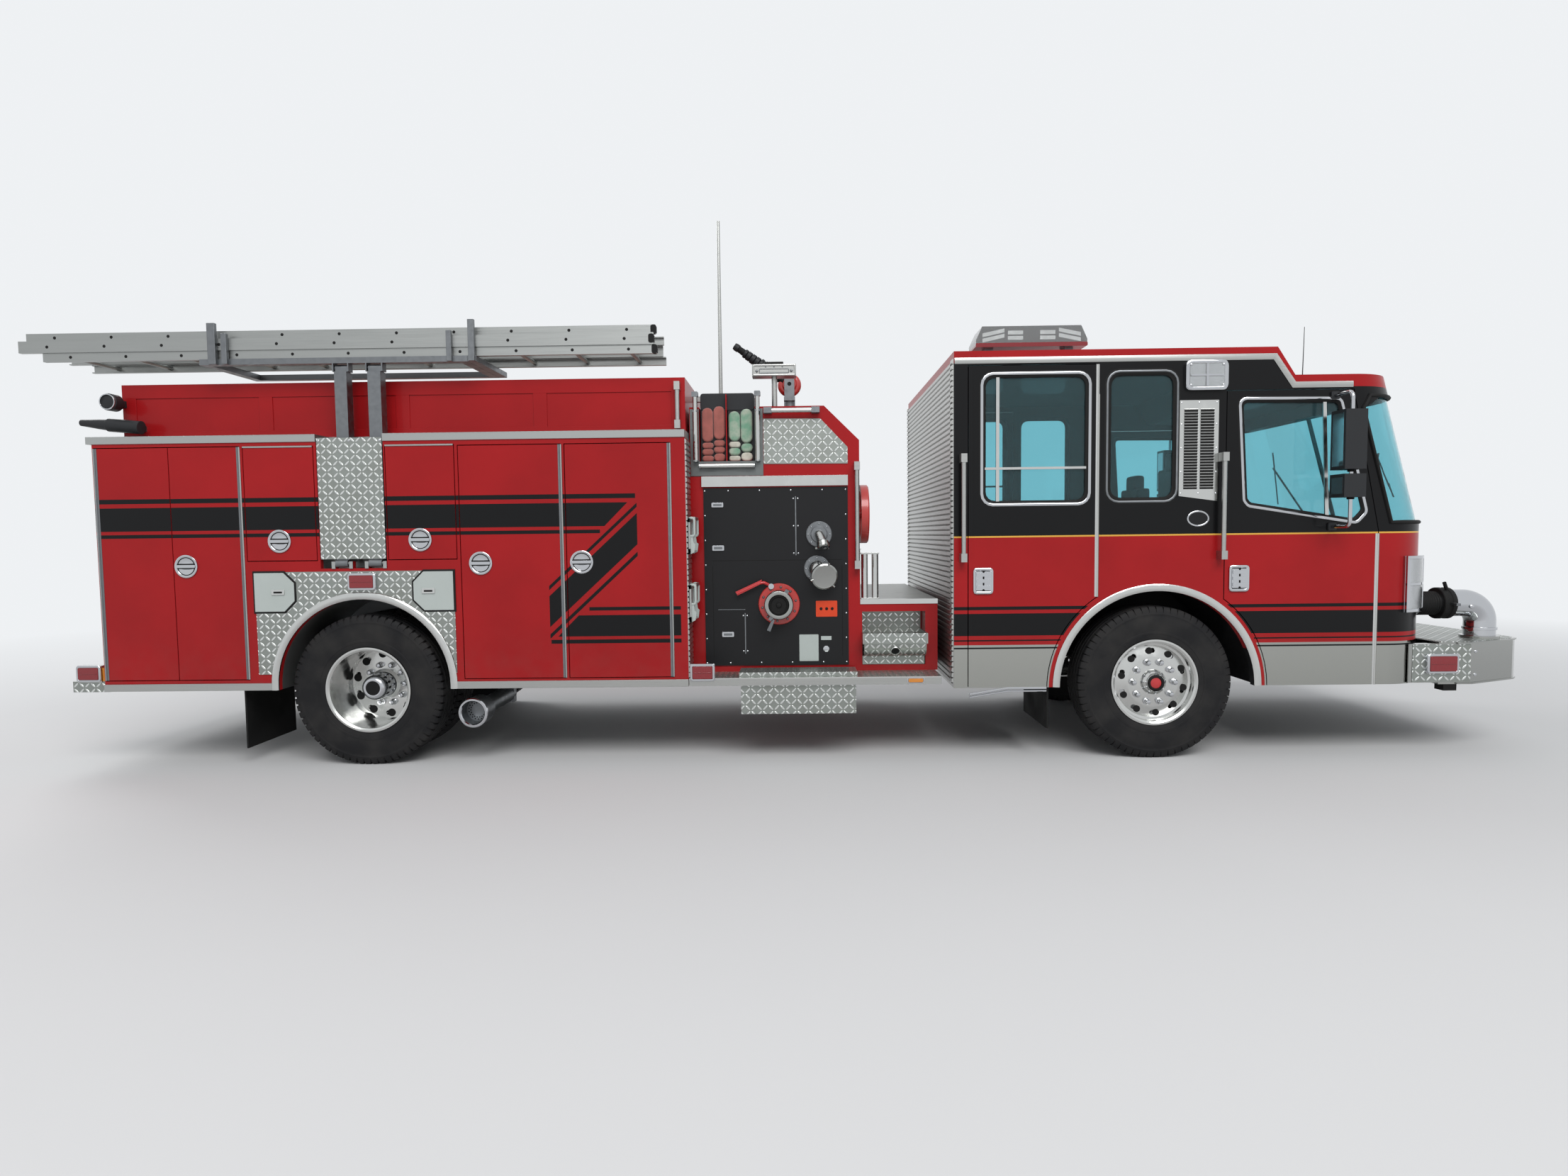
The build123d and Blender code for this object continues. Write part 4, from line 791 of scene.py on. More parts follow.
FINISHES = {
    # finish: the function that makes it, and what it is given
    "red_paint": (plain_paint, "red_paint", "red"),
    "black_paint": (plain_paint, "black_paint", "black"),
    "body_paint": (body_paint,),
    "bed_paint": (bed_paint,),
    "cab_paint": (cab_paint,),
    "treadplate": (treadplate,),
    "brushed": (brushed, "brushed_aluminium", (0.44, 0.445, 0.43), 0.34, (3, 60, 700)),
    "ladder_metal": (brushed, "ladder_aluminium", (0.37, 0.38, 0.37), 0.42, (3, 80, 500)),
    "grey_plate": (brushed, "grey_plate", (0.16, 0.17, 0.17), 0.5, (9, 9, 60)),
    "polished": (bright, "polished_aluminium", (0.58, 0.585, 0.57), 0.12),
    "chrome": (bright, "chrome", (0.52, 0.53, 0.55), 0.05),
    "stainless": (bright, "stainless", (0.36, 0.365, 0.35), 0.09),
    "steel": (brushed, "galvanised_steel", (0.2, 0.21, 0.22), 0.42, (30, 30, 30)),
    "chassis": (moulded, "chassis_black", (0.012, 0.012, 0.013), 0.6, 200.0),
    "panel_black": (moulded, "panel_black", (0.01, 0.01, 0.011), 0.42, 700.0),
    "tyre": (worn_rubber, "tyre_rubber", (0.009, 0.009, 0.01), 0.28),
    "rubber": (worn_rubber, "black_rubber", (0.006, 0.006, 0.006), 0.08),
    "plastic": (moulded, "dark_plastic", (0.022, 0.023, 0.025)),
    "tank": (moulded, "tank_plastic", (0.3, 0.31, 0.32), 0.5, 120.0),
    "glass": (window_glass,),
    "clear_lens": (lens, "clear_lens", (0.86, 0.88, 0.88), 0.85),
    "red_lens": (lens, "red_lens", "lens_red", 0.25),
    "amber_lens": (lens, "amber_lens", "lens_amber", 0.25),
    "gun_red": (cast_paint, "gun_red", (0.42, 0.022, 0.016)),
    "handle_red": (cast_paint, "handle_red", (0.46, 0.014, 0.016), 0.32),
    "hose_pink": (woven, "hose_pink", (0.36, 0.105, 0.085), (0.24, 0.075, 0.06)),
    "hose_green": (woven, "hose_green", (0.14, 0.3, 0.2), (0.38, 0.42, 0.34)),
    "hose_white": (woven, "hose_white", (0.58, 0.56, 0.48), (0.4, 0.38, 0.32)),
    "vinyl": (vinyl,),
    "pale_plate": (moulded, "pale_plate", (0.42, 0.46, 0.44), 0.35, 300.0),
    "orange_plate": (moulded, "orange_plate", (0.62, 0.06, 0.02), 0.4, 300.0),
}


@cache
def finish_of(name):
    """The material of a finish, made when it is first asked for."""
    maker, *given = FINISHES[name]
    return maker(*given).material


NODE_FINISH = {
    # finish: the nodes that have it, or else parts of the names of such nodes
    "glass": ("cab_glass",), "vinyl": ("cab_interior",), "chrome": ("cab_lamps", "front_suction"),
    "bed_paint": ("hose_bed",), "tank": ("water_tank",), "treadplate": ("step_boards",),
    "red_paint": ("pump_house",), "panel_black": ("pump_panels",), "hose_pink": ("hose_packs",),
    "steel": ("pump_fittings", "gun_base", "ladder_arms", "ladder_cradle", "exhaust"),
    "brushed": ("scene_light", "mast_and_rails"), "rubber": ("gun_barrel",),
    "ladder_metal": ("ladders",), "stainless": ("front_bumper",),
    "body_paint": ("body_right", "body_left"), "cab_paint": ("cab_shell", "cab_roof"),
}
KIND_FINISH = (
    ("mirrors", "plastic"), ("_tyre", "tyre"), ("_rim", "polished"), ("cab_door", "cab_paint"),
    ("cab_window", "glass"), ("leaf", "body_paint"), ("door", "body_paint"), ("", "chassis"),
)


def dress_frame():
    """Gives each node of the frame its finish, by its name or else by its kind."""
    for name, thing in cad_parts.items():
        named = [finish for finish, nodes in NODE_FINISH.items() if name in nodes]
        kinds = [finish for part, finish in KIND_FINISH if part in name]
        thing.data.materials.clear()
        thing.data.materials.append(finish_of((named + kinds)[0]))


# Tyres

DRAWN_RADIUS, DRAWN_HALF = 0.528, 0.146


def tyre_shape(x, y, settings, rear):
    """A tyre as a closed skin, from a grid of (angle, place across the section).

    The section runs from bead to bead over the tread. The radius drops by the groove's depth
    where the place lies in a rib groove, and past the shoulder line also where the angle lies
    in the gap between two lugs."""
    across = [(0.3, 0.124), (0.305, 0.131), (0.33, 0.137), (0.336, 0.1375), (0.338, 0.1395),
              (0.352, 0.1405), (0.354, 0.1395), (0.41, 0.1455), (0.455, 0.1435), (0.47, 0.1415),
              (0.474, 0.143), (0.487, 0.1405), (0.503, 0.1365), (0.518, 0.131), (0.5255, 0.1235),
              (0.528, 0.112), (0.528, 0.086), (0.515, 0.085), (0.515, 0.075), (0.528, 0.074),
              (0.528, 0.036), (0.515, 0.035), (0.515, 0.025), (0.528, 0.024)]
    across = np.array(across)
    inner = [(0.292, -0.12), (0.292, 0.12)]
    section = np.concatenate([across, across[::-1] * (1, -1), inner])
    section = section * (TYRE_RADIUS / DRAWN_RADIUS, TYRE_HALF / DRAWN_HALF)
    lugs = settings.lugs
    phase = np.array([0.0, 0.05, 0.24, 0.29, 0.62]) if rear else np.array([0.0, 0.03, 0.12, 0.15, 0.6])
    turn = ((np.arange(lugs)[:, None] + phase).ravel() / lugs) * 2 * math.pi
    cut = np.tile([0.0, 1.0, 1.0, 0.0, 0.0], lugs)
    radius, width = section.T
    reach = 0.083 if rear else 0.104
    shoulder = (np.abs(width) > reach) & (radius > 0.497 * TYRE_RADIUS / DRAWN_RADIUS)
    depth = settings.groove * shoulder
    radius = radius[None] - cut[:, None] * depth[None]
    lean = np.where(np.abs(width) > 0.08, 0.01, 0.0) * np.sign(width)
    angle = turn[:, None] + lean[None]
    rings = np.stack([radius * np.cos(angle), np.broadcast_to(width, radius.shape), radius * np.sin(angle)], -1)
    return loft(rings + (x, y, HUB_Z), closed=True)


def make_tyres():
    """Front tyres and twin rear tyres, in place of the frame's own."""
    settings = bpy.context.scene.engine_wheels
    for side, sign in (("right", 1), ("left", -1)):
        front = tyre_shape(WHEELBASE, sign * FRONT_TYRE_Y, settings, False)
        made = piece(f"front_tyre_tread_{side}", f"front_wheel_{side}",
                     [("tyre", front)], smooth=30)
        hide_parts(f"front_tyre_{side}")
        twins = [("tyre", tyre_shape(0, sign * y, settings, True)) for y in (REAR_TYRE_Y, INNER_TYRE_Y)]
        made = piece(f"rear_tyre_tread_{side}", f"rear_wheels_{side}", twins, smooth=30)
        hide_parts(f"rear_tyres_{side}")


# Wheels

REAR_DISC_FACE = REAR_TYRE_Y + 0.1605
NUTS = 10


def wheel_nuts(x, face, circle_radius, high):
    """Domed nut covers on a circle."""
    profile = [(0.0235, 0.0), (0.0235, 0.006), (0.019, 0.009), (0.019, high * 0.72),
               (0.014, high * 0.93), (0.006, high)]
    nut = turned(profile, (x + circle_radius, face, HUB_Z), RIGHT, 12)
    return ring_copies(nut, (x, face, HUB_Z), (0, 1, 0), NUTS)


def shaded_wheel_holes(x, face, radius, high):
    """Painted shade in the hand holes on their circle: a thin dark disc over each, where the wheel's own are cut.
    """
    hole = turned([(radius, 0), (radius, high), (0.001, high)], (x + 0.218, face, HUB_Z), steps=20)
    return ring_copies(hole, (x, face, HUB_Z), (0, 1, 0), NUTS, math.pi / 10)


def make_wheel_hardware():
    """Hub caps and nuts of the front and rear wheels, and dark discs of painted shade in their hand holes."""
    circle_radius = bpy.context.scene.engine_wheels.nut_circle
    face = FRONT_TYRE_Y - 0.1005
    nuts = wheel_nuts(WHEELBASE, face, circle_radius, 0.047)
    hub = turned([(0.088, 0.0), (0.086, 0.012), (0.07, 0.03), (0.064, 0.034), (0.06, 0.046),
                  (0.056, 0.05)], (WHEELBASE, face, HUB_Z), steps=40)
    ring = turned([(0.057, 0.0), (0.057, 0.056), (0.05, 0.06), (0.04, 0.06), (0.036, 0.052)],
                  (WHEELBASE, face, HUB_Z), steps=40)
    window = turned([(0.037, 0.0), (0.037, 0.053), (0.02, 0.056), (0.008, 0.0565)],
                    (WHEELBASE, face, HUB_Z), steps=32)
    pair("front_hub", "front_wheel_right", "chrome",
         [("chrome", nuts), ("polished", hub), ("rubber", ring), ("handle_red", window)])
    # Dark rubber discs over the front hand holes: painted shade.
    holes = shaded_wheel_holes(WHEELBASE, FRONT_TYRE_Y - 0.0875, 0.0235, 0.006)
    pair("front_wheel_holes", "front_wheel_right", "black_paint", [("rubber", holes)])
    face = REAR_DISC_FACE
    nuts = wheel_nuts(0, face, circle_radius, 0.05)
    cap = turned([(0.112, 0.0), (0.112, 0.03), (0.104, 0.04), (0.092, 0.046), (0.089, 0.19),
                  (0.083, 0.208), (0.07, 0.221), (0.062, 0.2255), (0.054, 0.2255), (0.051, 0.2235)],
                 (0, face, HUB_Z), steps=48)
    eye = turned([(0.052, 0.2228), (0.052, 0.2236), (0.001, 0.2236)], (0, face, HUB_Z), steps=32)
    # The dark discs over the rear hand holes are painted shade.
    pair("rear_hub", "rear_wheels_right", "chrome",
         [("chrome", nuts, cap), ("rubber", eye, shaded_wheel_holes(0, face, 0.029, 0.0008))])


# Cab

WINDOWS = (
    # piece, body, outline, frame finish, frame width
    ("rear_door_window", "rear_cab_door_right", box_outline(4.272, 4.993, 1.767, 2.643, 0.075), "chrome", 0.018),
    ("mid_window", "truck", box_outline(5.118, 5.582, 1.778, 2.647, 0.08), "steel", 0.014),
    ("front_door_window", "front_cab_door_right",
     rounded([(6.045, 1.775), (6.005, 2.455), (6.675, 2.448), (6.865, 1.69), (6.8, 1.618), (6.075, 1.738)],
             0.045, 4, closed=True), "chrome", 0.018),
)
PANE_Y = CAB_SIDE + 0.016


def make_windows():
    """Frames and gaskets round the side windows, with the bars of the sliding panes."""
    bars = {
        "rear_door_window": [soft_box(4.366, 4.388, 1.765, 2.645, 0.004, PANE_Y - 0.012, PANE_Y),
                             soft_box(4.28, 4.99, 2.002, 2.018, 0.004, PANE_Y - 0.014, PANE_Y)],
        "mid_window": [],
        "front_door_window": [prism([(6.562, 2.444), (6.584, 2.444), (6.618, 1.665), (6.594, 1.665)],
                                    PANE_Y - 0.012, PANE_Y)],
    }
    for name, body, outline, finish, wide in WINDOWS:
        parts = [(finish, hoop(outline, CAB_SIDE - 0.001, wide, 0.006, 0.004)),
                 ("rubber", hoop(outline, CAB_SIDE + 0.002, 0.034, 0.0035, 0.004)),
                 ("rubber", hoop(outline, PANE_Y, 0.03, 0.014, -0.01))]
        parts += [("polished", bar) for bar in bars[name]]
        pair(name + "_frame", body, "chrome" if finish == "chrome" else "black_paint", parts)


SCREEN_SLOPE = 0.27
CAB_BELT = 1.6
CORNER_RADIUS = 0.35


def cab_skin(turn, height):
    """Point 1 mm off the cab's right front corner: turn goes from 0 at the side to a quarter at the front."""
    nose = CAB_NOSE - max(0.0, height - CAB_BELT) * SCREEN_SLOPE
    reach = CORNER_RADIUS + 0.001
    return (nose - CORNER_RADIUS + reach * math.sin(turn),
            CAB_SIDE + CORNER_RADIUS - reach * math.cos(turn), height)


def screen_edge():
    """Line round the windscreen, from corner to corner below and above."""
    quarter = np.linspace(0, math.pi / 2, 9)
    low = np.array([cab_skin(turn, 1.615) for turn in quarter])
    high = np.array([cab_skin(turn, 2.47) for turn in quarter[:0:-1]] + [cab_skin(0.0, 2.385)])
    flip = (1, -1, 1)
    return np.concatenate([low, low[::-1] * flip, high[::-1] * flip, high])


WIPER_RODS = (
    # foot and head, each as distance ahead of the screen's foot, from the middle, and height; radius, steps
    ((0.014, 0.34, 1.6), (-0.128, 0.72, 2.12), 0.008, 8), ((-0.045, 0.78, 1.8), (-0.165, 0.66, 2.25), 0.006, 8),
    ((-0.012, 0.34, 1.6), (0.026, 0.34, 1.6), 0.022, 12),
)


def make_screen():
    """Windscreen gasket, centre bar and two wipers."""
    foot, head = CAB_NOSE + 0.002, CAB_NOSE - (2.46 - CAB_BELT) * SCREEN_SLOPE
    wipers = [rod(*((foot + x, y * side, z) for x, y, z in ends), radius, steps)
              for side in (-1, 1) for *ends, radius, steps in WIPER_RODS]
    piece("windscreen_trim", "truck",
          [("rubber", wire(screen_edge(), 0.014, 8, closed=True), rod((foot, 0, 1.62), (head, 0, 2.46), 0.016, 10)),
           ("plastic", *wipers)])


def arc_block(radius0, radius1, turn0, turn1, z0, z1, steps=10):
    """A block bent round the cab's right front corner, between two radii and two turns."""
    turn = np.linspace(turn0, turn1, steps)[:, None]
    radius = np.array([radius0, radius1, radius1, radius0])
    height = np.broadcast_to(np.array([z0, z0, z1, z1]), (steps, 4))
    centre = (CAB_NOSE - CORNER_RADIUS, CAB_SIDE + CORNER_RADIUS)
    return loft(np.stack([centre[0] + radius * np.sin(turn), centre[1] - radius * np.cos(turn), height], -1))


HEADLAMP_WINDOWS = ((1.022, 1.182), (1.202, 1.363))
LIGHT_BAR = (CAB_BACK + 0.17, CAB_BACK + 0.92, 2.85, CAB_SIDE + 0.09)


def make_headlamps():
    """Lenses in the two windows of each corner lamp, over bright bowls."""
    parts = []
    for low, high in HEADLAMP_WINDOWS:
        bowl = low + (high - low) / 2
        parts += [("clear_lens", arc_block(0.366, 0.381, 0.36, 0.99, low, high)),
                  ("rubber", arc_block(0.352, 0.3555, 0.36, 0.99, low, high)),
                  ("chrome", arc_block(0.3556, 0.36, 0.56, 0.84, bowl - 0.045, bowl + 0.045))]
    pair("headlamp_lenses", "truck", "lamp_lens", parts)
    shell = [arc_block(*row) for row in (
        # two radii, two turns, two heights, steps: the back plate, then its level and upright bars
        (0.3505, 0.368, 0.275, 1.097, 1.0, 1.385, 16), (0.3675, 0.386, 0.275, 1.097, 1.0, 1.022, 16),
        (0.3675, 0.386, 0.275, 1.097, 1.182, 1.202, 16), (0.3675, 0.386, 0.275, 1.097, 1.363, 1.385, 16),
        (0.3675, 0.386, 0.275, 0.357, 1.0215, 1.3635, 5), (0.3675, 0.386, 1.008, 1.097, 1.0215, 1.3635, 5))]
    start, end, low, side = LIGHT_BAR
    bar = prism([(start + 0.006, low), (start + 0.044, low + 0.124),
                 (end - 0.044, low + 0.124), (end - 0.006, low)],
                side + 0.001, side + 0.249)
    feet = [block(x - 0.03, x + 0.03, side + 0.07, side + 0.18, 2.8, low + 0.002)
            for x in (start + 0.1, end - 0.1)]
    right, _ = pair("lamp_housings", "truck", "lamp_lens",
                    [("chrome", *shell), ("plastic", bar), ("steel", *feet)], bevel=0.002)
    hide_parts("cab_lamps")


SPOT = (5.63, 5.91, 2.516, 2.716)


def make_spot_lamps():
    """Square scene lamp high on each cab side: bezel, lens, inner bars and four screws."""
    x0, x1, z0, z1 = SPOT
    face = CAB_SIDE - 0.022
    frame_line = box_outline(x0 + 0.012, x1 - 0.012, z0 + 0.012, z1 - 0.012, 0.03)
    corners = wall_grid((x0 + 0.032, x1 - 0.032), face - 0.006, (z0 + 0.032, z1 - 0.032))
    parts = [
        ("chrome", soft_box(x0, x1, z0, z1, 0.03, face, CAB_SIDE + 0.001)),
        ("chrome", hoop(frame_line, face, 0.026, 0.009)),
        ("clear_lens", soft_box(x0 + 0.02, x1 - 0.02, z0 + 0.02, z1 - 0.02, 0.02, face - 0.008, face - 0.0005)),
        ("chrome", soft_box(x0 + 0.132, x0 + 0.147, z0 + 0.024, z1 - 0.024, 0.003, face - 0.011, face - 0.008)),
        ("chrome", soft_box(x0 + 0.03, x1 - 0.03, z0 + 0.092, z0 + 0.104, 0.003, face - 0.01, face - 0.008)),
        ("chrome", domes(corners, 0.009, 0.006)),
    ]
    pair("spot_lamp", "truck", "lamp_lens", parts)


LOUVRE = (5.6, 5.86, 1.81, 2.45)
SLOTS = 28


def make_louvre():
    """Bright plate with two columns of pressed louvres over thin dark sheets of painted shade, and a row of screws
    round its edge.
    """
    x0, x1, z0, z1 = LOUVRE
    face = CAB_SIDE - 0.0055
    sheet = prism([(x0 - 0.001, z0 - 0.001), (x1 + 0.001, z0 - 0.038), (x1 + 0.001, z1 + 0.001),
                   (x0 - 0.001, z1 + 0.001)], face, CAB_SIDE)
    hood = prism([(face, 0.0), (face - 0.007, 0.002), (face - 0.0075, 0.005), (face, 0.008)], 0.0, 0.094, "x")
    # Under each louvre's hood a thin dark sheet is painted shade in the opening.
    gap = block(0.001, 0.093, face - 0.0008, face, -0.0115, -0.0005)
    pitch = (z1 - z0 - 0.1) / SLOTS
    places = wall_grid((x0 + 0.028, x0 + 0.138), 0, z0 + 0.055 + pitch * np.arange(SLOTS))
    screws = wall_grid((x0 + 0.012, (x0 + x1) / 2, x1 - 0.012), face, (z0 + 0.015, z1 - 0.015))
    screws += wall_grid((x0 + 0.012, x1 - 0.012), face, z0 + 0.16 * np.arange(1, 4))
    pair("louvre_plate", "truck", "polished_aluminium",
         [("polished", sheet), ("polished", copies(hood, places)), ("rubber", copies(gap, places)),
          ("chrome", domes(screws, 0.006, 0.003))])


BACK_RIBS, BACK_LOW, BACK_HIGH = 60, 0.53, 2.74


def make_back_sheet():
    """Ribbed sheet over the cab's back wall, with an angle strip down each edge."""
    face = CAB_BACK - 0.001
    lift = (BACK_HIGH - BACK_LOW) / BACK_RIBS * 0.35
    sheets = [ribs(BACK_LOW, BACK_HIGH, BACK_RIBS, face, -0.013, -1.148, 1.148)]
    sheets += [ribs(BACK_LOW + lift, BACK_HIGH + lift, BACK_RIBS, face, -0.015, *edges)
               for edges in ((-1.214, -1.156), (1.156, 1.214))]
    seams = [block(face - 0.003, face, *edges, BACK_LOW, BACK_HIGH)
             for edges in ((-1.157, -1.147), (1.147, 1.157))]
    piece("cab_back_sheet", "truck", [("brushed", *sheets), ("rubber", *seams)])


CAB_DOORS = (
    # body, x of the handle, then x, low z and high z of the hinge
    ("rear_cab_door_right", 4.2165, 5.058, 1.13, 2.7), ("front_cab_door_right", 5.954, 6.953, 0.507, 1.54),
)


def hinge_leaf(x, side, low, high, toward):
    """A hinge's leaf: an arc over the door's side of its barrel, then a flat strip on the door.
    The arc leaves out the first 100 degrees, which turn into the groove as the door opens."""
    outer, inner = (arc((-toward * radius, -radius), *np.radians((100, 165)), 8, (x, side))
                    for radius in (0.0079, 0.0068))
    flat = [(x + toward * ahead, side + out)
            for ahead, out in ((0.02, -0.0014), (0.02, 0.0003), (0.007, 0.0003))]
    return prism(np.concatenate([outer, flat, inner[::-1]]), low, high, "z")


def make_cab_trim():
    """Roof strips, hinge strips, handle bezels, blank ovals and the strip under the rear door."""
    line = [(CAB_BACK + 0.004, CAB_SIDE, 2.735), (6.232, CAB_SIDE, 2.735), (6.362, CAB_SIDE, 2.545),
            (6.755, CAB_SIDE, 2.545)]
    oval = circle(1.0, 28) * (0.07, 0.049) + (5.735, 1.655)
    parts = [("brushed", carried(line, strip(0.04, 0.007), normal=RIGHT)),
             ("chrome", hoop(oval, CAB_SIDE, 0.01, 0.004)),
             ("panel_black", prism(oval, CAB_SIDE - 0.002, CAB_SIDE + 0.001))]
    pair("cab_strip", "truck", "brushed_aluminium", parts)
    bent = [(4.187, CAB_SIDE + 0.004, 0.462), (4.446, CAB_SIDE + 0.004, 0.503), (4.714, CAB_SIDE + 0.004, 0.503)]
    lower = [(x, y, z - 0.02) for x, y, z in bent]
    pair("bent_strip", "rear_cab_door_right", "chrome",
         [("chrome", carried(bent, strip(0.015, 0.01), normal=RIGHT)),
          ("chrome", carried(lower, strip(0.012, 0.008), normal=RIGHT))])
    for body, x, hinge, low, high in CAB_DOORS:
        rim = box_outline(x - 0.002, x + 0.127, 1.159, 1.332, 0.016)
        face = CAB_SIDE - 0.006
        fins = copies(soft_box(x + 0.014, x + 0.111, -0.012, 0.013, 0.006, CAB_SIDE - 0.022, CAB_SIDE - 0.004),
                      [(0, 0, z) for z in (1.203, 1.246, 1.289)])
        pair("door_trim_" + body[:4].strip("_"), body, "chrome",
             [("chrome", hoop(rim, face, 0.018, 0.007, -0.006)), ("chrome", fins),
              ("chrome", block(x, x + 0.125, face, CAB_SIDE + 0.001, 1.161, 1.33)),
              ("chrome", *(soft_box(x + d, x + d + 0.047, 1.18, 1.312, 0.008, CAB_SIDE - 0.016, CAB_SIDE - 0.005)
                           for d in (0.01, 0.068))),
              ("rubber", block(x + 0.008, x + 0.117, face - 0.0012, face, 1.17, 1.321)),
              ("polished", hinge_leaf(hinge, CAB_SIDE, low, high, -1))], bevel=0.0003)


def make_cab_forms():
    """Round trim over the front wheel and the flap behind it, on both sides of the cab."""
    line = arc(0.689, math.pi - 0.012, 0.012, 44, (WHEELBASE, 0.5))
    pair("cab_arch_trim", "truck", "polished_aluminium",
         [("polished", carried(on_wall(line, CAB_SIDE + 0.0005), strip(0.048, 0.013), normal=RIGHT)),
          ("rubber", block(4.729, 4.741, CAB_SIDE + 0.04, -0.552, 0.21, 0.508))])


def make_mirror_trim():
    """Bright tube over the mirrors' arm, joints between the heads, and the glass at their back."""
    x, y = WHEELBASE + 1.165, CAB_SIDE - 0.2
    arm = rounded([(x, CAB_SIDE - 0.01, 2.47), (x, y, 2.47), (x, y, 1.59), (x, CAB_SIDE - 0.01, 1.59)], 0.04, 6)
    parts = [("chrome", wire(arm, 0.0122, 14))]
    parts += [("plastic", soft_box(x - 0.028, x + 0.028, z - 0.026, z + 0.026, 0.01, CAB_SIDE - 0.014, CAB_SIDE))
              for z in (1.59, 2.47)]
    for low, high in ((1.96, 2.345), (1.78, 1.93)):
        parts += [("chrome", block(x - 0.0915, x - 0.0895, y - 0.06, y + 0.06, low + 0.022, high - 0.022)),
                  ("rubber", rod((x, y, low - 0.014), (x, y, low + 0.002), 0.022))]
    pair("mirror_trim", "front_cab_door_right", "chrome", parts)


def make_roof_items():
    """Light bar covers, antennas and the lid ring of the roof hatch."""
    start, end, low, outer = LIGHT_BAR
    outline = [(start - 0.002, low - 0.002), (start - 0.004, low + 0.04), (start + 0.038, low + 0.132),
               (end - 0.038, low + 0.132), (end + 0.004, low + 0.04), (end + 0.002, low - 0.002)]
    core = prism([(start + 0.004, low), (start + 0.036, low + 0.126),
                  (end - 0.036, low + 0.126), (end - 0.004, low)],
                 outer - 0.0012, outer + 0.251)
    parts = [("clear_lens", prism(outline, outer - 0.002, outer + 0.252)),
             ("red_lens", soft_box(start - 0.006, end + 0.006, low - 0.008, low + 0.02, 0.008,
                                   outer - 0.005, outer + 0.255)),
             ("rubber", core)]
    for x, wide, lean in ((start + 0.115, 0.075, 0.016), (start + 0.265, 0.052, 0),
                          (start + 0.485, 0.052, 0), (end - 0.115, 0.075, -0.016)):
        for z in (low + 0.052, low + 0.088):
            flat = [(x - wide, z - 0.013 - lean), (x + wide, z - 0.013 + lean), (x + wide, z + 0.013 + lean),
                    (x - wide, z + 0.013 - lean)]
            parts.append(("polished", prism(flat, outer - 0.0018, outer - 0.0012)))
    pair("light_bar_cover", "truck", "lamp_lens", parts, bevel=0.003)
    whips = [((6.65, -0.8, 2.6), 0.42), ((6.3, 0.6, 2.7), 0.34)]
    masts = [turned([(0.022, 0.0), (0.02, 0.02), (0.007, 0.05), (0.0035, 0.08), (0.002, high)], place,
                    (0.02, 0, 1), 10) for place, high in whips]
    lid = turned([(0.122, -0.002), (0.124, 0.022), (0.118, 0.036), (0.1, 0.042), (0.03, 0.046), (0.001, 0.046)],
                 (CAB_NOSE - 0.445, -0.5, 2.612), (0, 0, 1), 36)
    piece("roof_items", "truck", [("plastic", *masts, lid)])


GRILLE = (0.52, 0.86, 1.44)


def make_grille():
    """Bright bars and a surround on the slotted plate at the cab's front."""
    half, low, high = GRILLE
    face = CAB_NOSE + 0.014
    pitch = (high - low) / 8
    bars = [block(face - 0.013, face + 0.006, -half + 0.02, half - 0.02, z - 0.012, z + 0.012)
            for z in low + pitch * np.arange(9)]
    posts = [block(face - 0.013, face + 0.007, y - 0.014, y + 0.014, low - 0.012, high + 0.012)
             for y in (-half, 0, half)]
    back = block(CAB_NOSE + 0.001, CAB_NOSE + 0.005, -half + 0.032, half - 0.032, low + 0.01, high - 0.01)
    piece("grille_bars", "truck",
          [("chrome", *bars, *posts), ("rubber", back)], bevel=0.003)


# Lamps

LAMPS = (
    # piece, x0, x1, z0, z1, y of the carrying face, how far the housing stands out
    ("side_lamp", -0.08, 0.11, 1.233, 1.346, BODY_SIDE, 0.022),
    ("bumper_lamp", 7.31, 7.52, 0.58, 0.71, CAB_SIDE + 0.02, 0.018),
    ("board_lamp", 2.265, 2.43, 0.58, 0.695, BODY_SIDE, 0.014),
    ("tailboard_lamp", -2.045, -1.875, 0.606, 0.718, BODY_SIDE + 0.032, 0.0),
)


